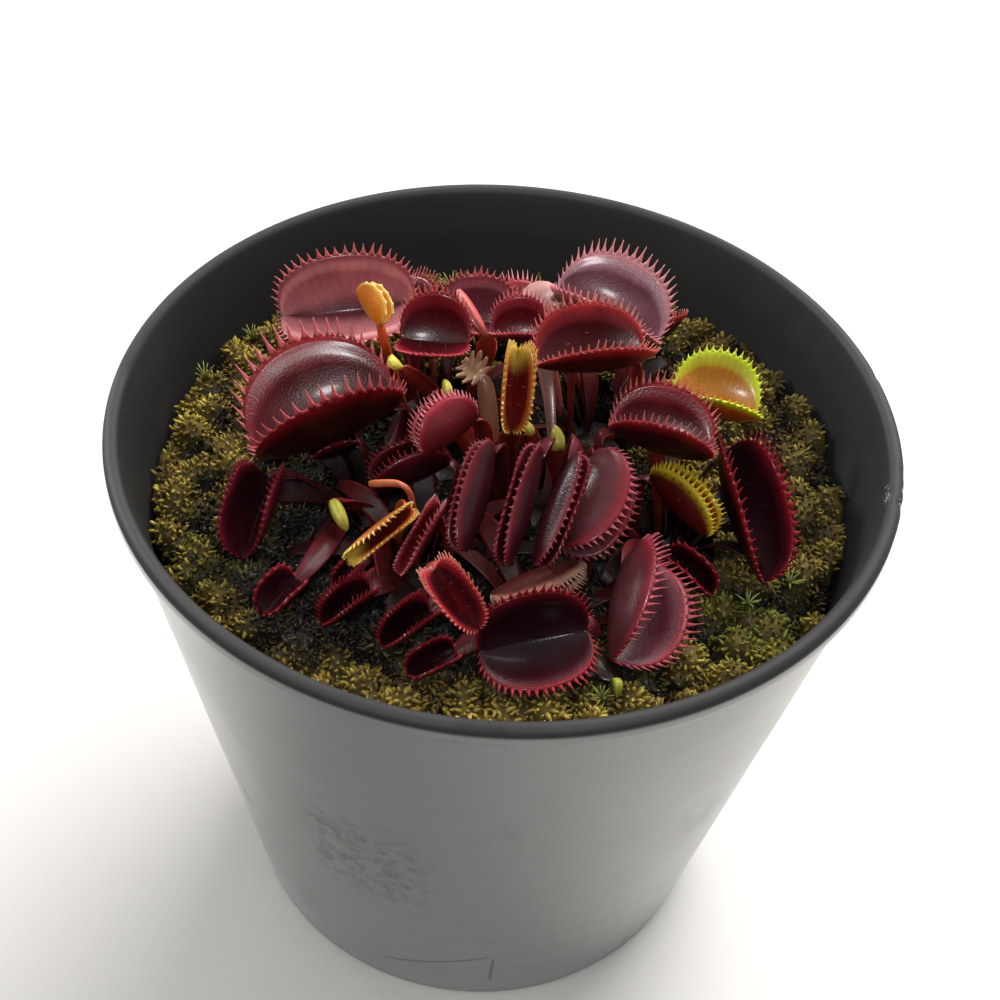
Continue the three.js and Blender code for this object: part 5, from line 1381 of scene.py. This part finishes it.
def tissue_group():
    """Leaf colour from hinge to margin and tooth, with veins, glands and soft blotches."""
    colours = {key.capitalize(): value for key, value in LOOKS["wine"].items() if key != "glow"}
    tree, given, out = new_group("Leaf tissue", dict(colours, End=tint(224, 194, 84), Ended=0.0, Dots=0.0), {
        "Colour": "NodeSocketColor", "Roughness": "NodeSocketFloat", "Height": "NodeSocketFloat"})
    place = place_of(tree)
    reach, along, inside, tooth, stalk = (mark(tree, name) for name in LEAF_MARKS)
    blotch = grain(tree, place, 260, 4)
    wander = times(tree, calc(tree, "SUBTRACT", blotch, 0.5), 0.14)
    here = plus(tree, reach, wander)
    lobe = mixed(tree, between(tree, here, 0.02, 0.36), given["Hinge"], given["Bowl"])
    lobe = mixed(tree, between(tree, here, BAND - 0.1, BAND + 0.01), lobe, given["Band"])
    lobe = mixed(tree, between(tree, here, BAND + 0.06, 0.98), lobe, given["Rim"])
    back = mixed(tree, between(tree, here, 0.7, 1.0), given["Outside"], given["Rim"])
    trap = mixed(tree, between(tree, inside, 0.2, 0.45), back, lobe)
    toothed = mixed(tree, between(tree, tooth, 0.0, 0.35), trap, given["Teeth"])
    ended = times(tree, between(tree, plus(tree, along, wander), 0.25, 0.75), given["Ended"])
    toothed = mixed(tree, ended, toothed, given["End"])
    veins = add_node(tree, "ShaderNodeTexWave", {"Vector": add_node(tree, "ShaderNodeCombineXYZ", {
        0: along, 1: reach}).outputs[0], "Scale": 3.2, "Distortion": 3.5, "Detail": 3.0},
        wave_type="BANDS", bands_direction="X", wave_profile="SIN").outputs["Fac"]
    glands = add_node(tree, "ShaderNodeTexVoronoi", {"Vector": place, "Scale": 3600.0}).outputs["Distance"]
    speckle = between(tree, glands, 0.0, 0.35, 0.16, 0.0)
    speckled = mixed(tree, speckle, toothed, tint(40, 8, 14))
    veined = mixed(tree, times(tree, veins, 0.08), speckled, tint(30, 6, 10))
    rib = between(tree, reach, 0.15, 0.7, 0.35, 0.0)
    stem = mixed(tree, rib, given["Stalk"], given["Hinge"])
    low = between(tree, plus(tree, along, wander), 0.05, 0.55, 0.55, 0.0)
    stem = mixed(tree, low, stem, tint(58, 30, 24))
    colour = mixed(tree, stalk, veined, stem)
    spot_row = between(tree, calc(tree, "ABSOLUTE", calc(tree, "SUBTRACT", reach, 0.86)), 0.0, 0.05, 1.0, 0.0)
    spots = between(tree, calc(tree, "SINE", times(tree, along, 42.0)), 0.55, 0.85)
    dotted = times(tree, times(tree, spot_row, spots), given["Dots"])
    colour = mixed(tree, dotted, colour, tint(44, 16, 10))
    bright = between(tree, blotch, 0.3, 0.7, 0.86, 1.12)
    shaded = add_node(tree, "ShaderNodeHueSaturation", {"Value": bright, "Color": colour}).outputs[0]
    tree.links.new(shaded, out.inputs["Colour"])
    tree.links.new(between(tree, blotch, 0.3, 0.7, 0.3, 0.42), out.inputs["Roughness"])
    relief = plus(tree, times(tree, glands, 0.6), times(tree, blotch, 1.4))
    tree.links.new(relief, out.inputs["Height"])
    return tree


def tissue_material(name, look, group, dots=0.0, ended=0.0):
    material, tree, shader = new_material(name)
    tissue = add_node(tree, "ShaderNodeGroup", {}, node_tree=group)
    for key, value in look.items():
        if key != "glow":
            tissue.inputs[key.capitalize()].default_value = value
    tissue.inputs["Dots"].default_value = dots
    tissue.inputs["Ended"].default_value = ended
    tree.links.new(tissue.outputs["Colour"], shader.inputs["Base Color"])
    tree.links.new(tissue.outputs["Roughness"], shader.inputs["Roughness"])
    constants(shader, {"Subsurface Weight": look["glow"], "Subsurface Scale": 0.9 * MM,
                       "Subsurface Radius": (1.0, 0.42, 0.36), "Specular IOR Level": 0.11,
                       "Coat Weight": 0.08, "Coat Roughness": 0.14})
    bumped(tree, shader, tissue.outputs["Height"], 0.035)
    return material


# ------------------------------------------------------------------ stage
def add_light(name, place, target, size, power, colour):
    light = bpy.data.lights.new(name, "AREA")
    light.shape = "DISK"
    light.size = size * MM
    light.energy = power
    light.color = colour
    lamp = bpy.data.objects.new(name, light)
    lamp.location = Vector(place) * MM
    lamp.rotation_euler = (Vector(target) * MM - lamp.location).to_track_quat("-Z", "Y").to_euler()
    bpy.context.scene.collection.objects.link(lamp)
    return lamp


def make_stage(stage):
    floor = Form()
    reach = 4000
    corners = [(-reach, -reach, 0), (reach, -reach, 0), (reach, reach, 0), (-reach, reach, 0)]
    floor.add(corners, [(0, 1, 2, 3)])
    ground = floor.piece("floor")
    material, _, shader = new_material("Pale floor")
    shader.inputs["Base Color"].default_value = (*stage.floor_colour, 1.0)
    shader.inputs["Roughness"].default_value = 0.5
    ground.data.materials.append(material)
    world = bpy.data.worlds.new("Soft room")
    world.use_nodes = True
    room = world.node_tree
    back = room.nodes["Background"]
    back.inputs["Color"].default_value = (1.0, 0.988, 0.982, 1.0)
    side = add_node(room, "ShaderNodeVectorMath", {0: place_of(room), 1: (0.35, 0.85, 0.3)},
                    operation="DOT_PRODUCT").outputs["Value"]
    room.links.new(between(room, side, -0.8, 0.9, 0.35 * stage.room_light, 1.75 * stage.room_light),
                   back.inputs["Strength"])
    bpy.context.scene.world = world
    middle = (0, 0, 60)
    add_light("Window", (300, 620, 700), middle, 760, stage.window_light, (1.0, 0.985, 0.96))
    add_light("Fill", (-420, -260, 520), middle, 500, stage.fill_light, (1.0, 0.96, 0.92))
    for name, place, target, size in (("Front sheen", (-5, -290, 410), (-20, 5, 78), 70),
                                      ("Left sheen", (-330, 195, 290), (7, -14, 80), 70)):
        sheen = add_light(name, place, target, size, stage.sheen_light, (1.0, 1.0, 1.0))
        sheen.visible_diffuse = False
        sheen.visible_transmission = False


def make_camera():
    data = bpy.data.cameras.new("Camera")
    data.sensor_fit = "HORIZONTAL"
    data.sensor_width = 36
    data.lens = CAMERA_LENS
    data.clip_start = 0.01
    camera = bpy.data.objects.new("Camera", data)
    right, up = Vector(CAMERA_RIGHT).normalized(), Vector(CAMERA_UP)
    back = right.cross(up).normalized()
    up = back.cross(right)
    turn = Matrix((right, up, back)).transposed().to_4x4()
    camera.matrix_world = Matrix.Translation(Vector(CAMERA_PLACE) * MM) @ turn
    bpy.context.scene.collection.objects.link(camera)
    bpy.context.scene.camera = camera
    bpy.context.scene.view_settings.view_transform = "Standard"


# ------------------------------------------------------------------ settings
def colour_setting(name, description, default):
    return bpy.props.FloatVectorProperty(name=name, description=description, subtype="COLOR",
                                         size=len(default), min=0, max=1, default=default)


def share_setting(name, description, default):
    return bpy.props.FloatProperty(name=name, description=description, subtype="FACTOR",
                                   min=0, max=1, default=default)


class FlytrapPotSettings(bpy.types.PropertyGroup):
    colour: colour_setting("Pot colour", "Colour of the moulded plastic", tint(20, 19, 19))
    roughness: share_setting("Pot roughness", "Roughness of clean plastic", 0.3)
    nicks: share_setting("Nicks", "Depth of the nicks in the lip", 1.0)
    peat_colour: colour_setting("Medium colour", "Colour of the growing medium", tint(44, 32, 24))
    peat_lumps: bpy.props.FloatProperty(
        name="Medium lumps", description="Height of its lumps in millimetres", min=0, max=2, default=0.8)


class FlytrapMossSettings(bpy.types.PropertyGroup):
    clump: bpy.props.FloatProperty(
        name="Clump size", description="Width of a clump of moss in millimetres", min=2, max=12, default=4.8)
    spacing: bpy.props.FloatProperty(
        name="Branchlet spacing", description="Least distance between branchlets in millimetres",
        min=0.4, max=4, default=0.45)
    bright: colour_setting("Bright moss", "Colour of fresh heads", tint(176, 150, 54))
    dull: colour_setting("Dull moss", "Colour of old heads", tint(108, 84, 32))


class FlytrapPlantSettings(bpy.types.PropertyGroup):
    rhizome_colour: colour_setting("Rhizome colour", "Colour of the buried rhizome", tint(214, 206, 172))
    old_leaves: bpy.props.IntProperty(
        name="Old leaves", description="Old leaves round each crown", min=0, max=20, default=8)


class FlytrapStageSettings(bpy.types.PropertyGroup):
    floor_colour: colour_setting("Floor colour", "Colour of the floor", (0.6, 0.592, 0.572))
    window_light: bpy.props.FloatProperty(
        name="Window light", description="Main light from behind", unit="POWER", min=0, default=14)
    fill_light: bpy.props.FloatProperty(
        name="Fill light", description="Weak light from the front", unit="POWER", min=0, default=1.0)
    sheen_light: bpy.props.FloatProperty(
        name="Sheen light", description="Lights that only show in gloss", unit="POWER", min=0, default=2.4)
    room_light: bpy.props.FloatProperty(
        name="Room light", description="Strength of light from all round", min=0, default=0.62)


# ------------------------------------------------------------------ operators
class FLYTRAP_OT_stage(bpy.types.Operator):
    """Adds the camera, the lights and the pale floor"""
    bl_idname = "flytrap.stage"
    bl_label = "Stage"

    def execute(self, context):
        make_camera()
        make_stage(context.scene.flytrap_stage)
        return {"FINISHED"}


class FLYTRAP_OT_pot(bpy.types.Operator):
    """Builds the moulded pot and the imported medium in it"""
    bl_idname = "flytrap.pot"
    bl_label = "Pot"

    def execute(self, context):
        pot = context.scene.flytrap_pot
        dress(make_pot(pot.nicks), plastic_material(tuple(pot.colour), pot.roughness), "pot_plastic", "pot")
        dress(make_medium(pot.peat_lumps), peat_material(tuple(pot.peat_colour)), "peat", "growing_medium")
        return {"FINISHED"}


class FLYTRAP_OT_moss(bpy.types.Operator):
    """Builds the moss bed and scatters the moss heads over it"""
    bl_idname = "flytrap.moss"
    bl_label = "Moss"

    def execute(self, context):
        moss = context.scene.flytrap_moss
        make_moss(moss.clump, moss.spacing, tuple(moss.bright), tuple(moss.dull))
        return {"FINISHED"}


class FLYTRAP_OT_rhizomes(bpy.types.Operator):
    """Builds the rhizomes with their roots"""
    bl_idname = "flytrap.rhizomes"
    bl_label = "Rhizomes"

    def execute(self, context):
        material = rhizome_material(tuple(context.scene.flytrap_plant.rhizome_colour))
        for seed, (name, spot) in enumerate(RHIZOMES.items()):
            piece = make_rhizome(f"crown_{name}", spot, seed)
            dress(piece, material, "rhizome_white", f"rhizome_{name}")
        return {"FINISHED"}


class FLYTRAP_OT_traps(bpy.types.Operator):
    """Builds every leaf with its trap"""
    bl_idname = "flytrap.traps"
    bl_label = "Traps"

    def execute(self, context):
        slots = {part["node"]: part["material_slot"] for part in frame["record"]["subparts"]}
        group = tissue_group()
        materials = {}
        for name, leaf in LEAVES.items():
            look = leaf["look"]
            if look not in materials:
                dots = 0.9 if look == "gold_rim" else 0.0
                ended = 0.8 if look == "ember" else 0.0
                materials[look] = tissue_material(f"Tissue {look}", LOOKS[look], group, dots, ended)
            dress(make_leaf(name, leaf), materials[look], slots[f"leaf_{name}"], f"leaf_{name}")
        return {"FINISHED"}


class FLYTRAP_OT_old_leaves(bpy.types.Operator):
    """Builds the old leaves without traps that lie low round the crowns"""
    bl_idname = "flytrap.old_leaves"
    bl_label = "Old leaves"

    def execute(self, context):
        dress(make_old_leaves(context.scene.flytrap_plant.old_leaves), old_leaf_material(), "leaf_maroon")
        dress(make_stump(), shoot_material("Cut stump", tint(150, 50, 26), tint(206, 116, 62)), "leaf_orange")
        dress(make_sprigs(), shoot_material("Sprig", tint(50, 60, 16), tint(136, 152, 38)), "sphagnum")
        return {"FINISHED"}


class FLYTRAP_PT_panel(bpy.types.Panel):
    """Lists the steps and their settings"""
    bl_idname = "FLYTRAP_PT_panel"
    bl_label = "Potted Venus Flytrap"
    bl_space_type = "VIEW_3D"
    bl_region_type = "UI"
    bl_category = "Flytrap"

    def draw(self, context):
        for operator, settings in STEPS:
            box = self.layout.box()
            box.operator(operator.bl_idname)
            group = getattr(context.scene, settings)
            for key in group.bl_rna.properties.keys():
                if key not in {"rna_type", "name"}:
                    box.prop(group, key)


STEPS = (
    (FLYTRAP_OT_stage, "flytrap_stage"),
    (FLYTRAP_OT_pot, "flytrap_pot"),
    (FLYTRAP_OT_moss, "flytrap_moss"),
    (FLYTRAP_OT_rhizomes, "flytrap_plant"),
    (FLYTRAP_OT_traps, "flytrap_plant"),
    (FLYTRAP_OT_old_leaves, "flytrap_plant"),
)
SETTINGS = {
    "flytrap_stage": FlytrapStageSettings,
    "flytrap_pot": FlytrapPotSettings,
    "flytrap_moss": FlytrapMossSettings,
    "flytrap_plant": FlytrapPlantSettings,
}
CLASSES = (*SETTINGS.values(), *(operator for operator, _ in STEPS), FLYTRAP_PT_panel)


def register():
    for item in CLASSES:
        bpy.utils.register_class(item)
    for name, settings in SETTINGS.items():
        setattr(bpy.types.Scene, name, bpy.props.PointerProperty(type=settings))


def unregister():
    for name in SETTINGS:
        delattr(bpy.types.Scene, name)
    for item in reversed(CLASSES):
        bpy.utils.unregister_class(item)


def main():
    register()
    for operator, _ in STEPS:
        group, action = operator.bl_idname.split(".")
        getattr(getattr(bpy.ops, group), action)()


if __name__ == "__main__":
    main()
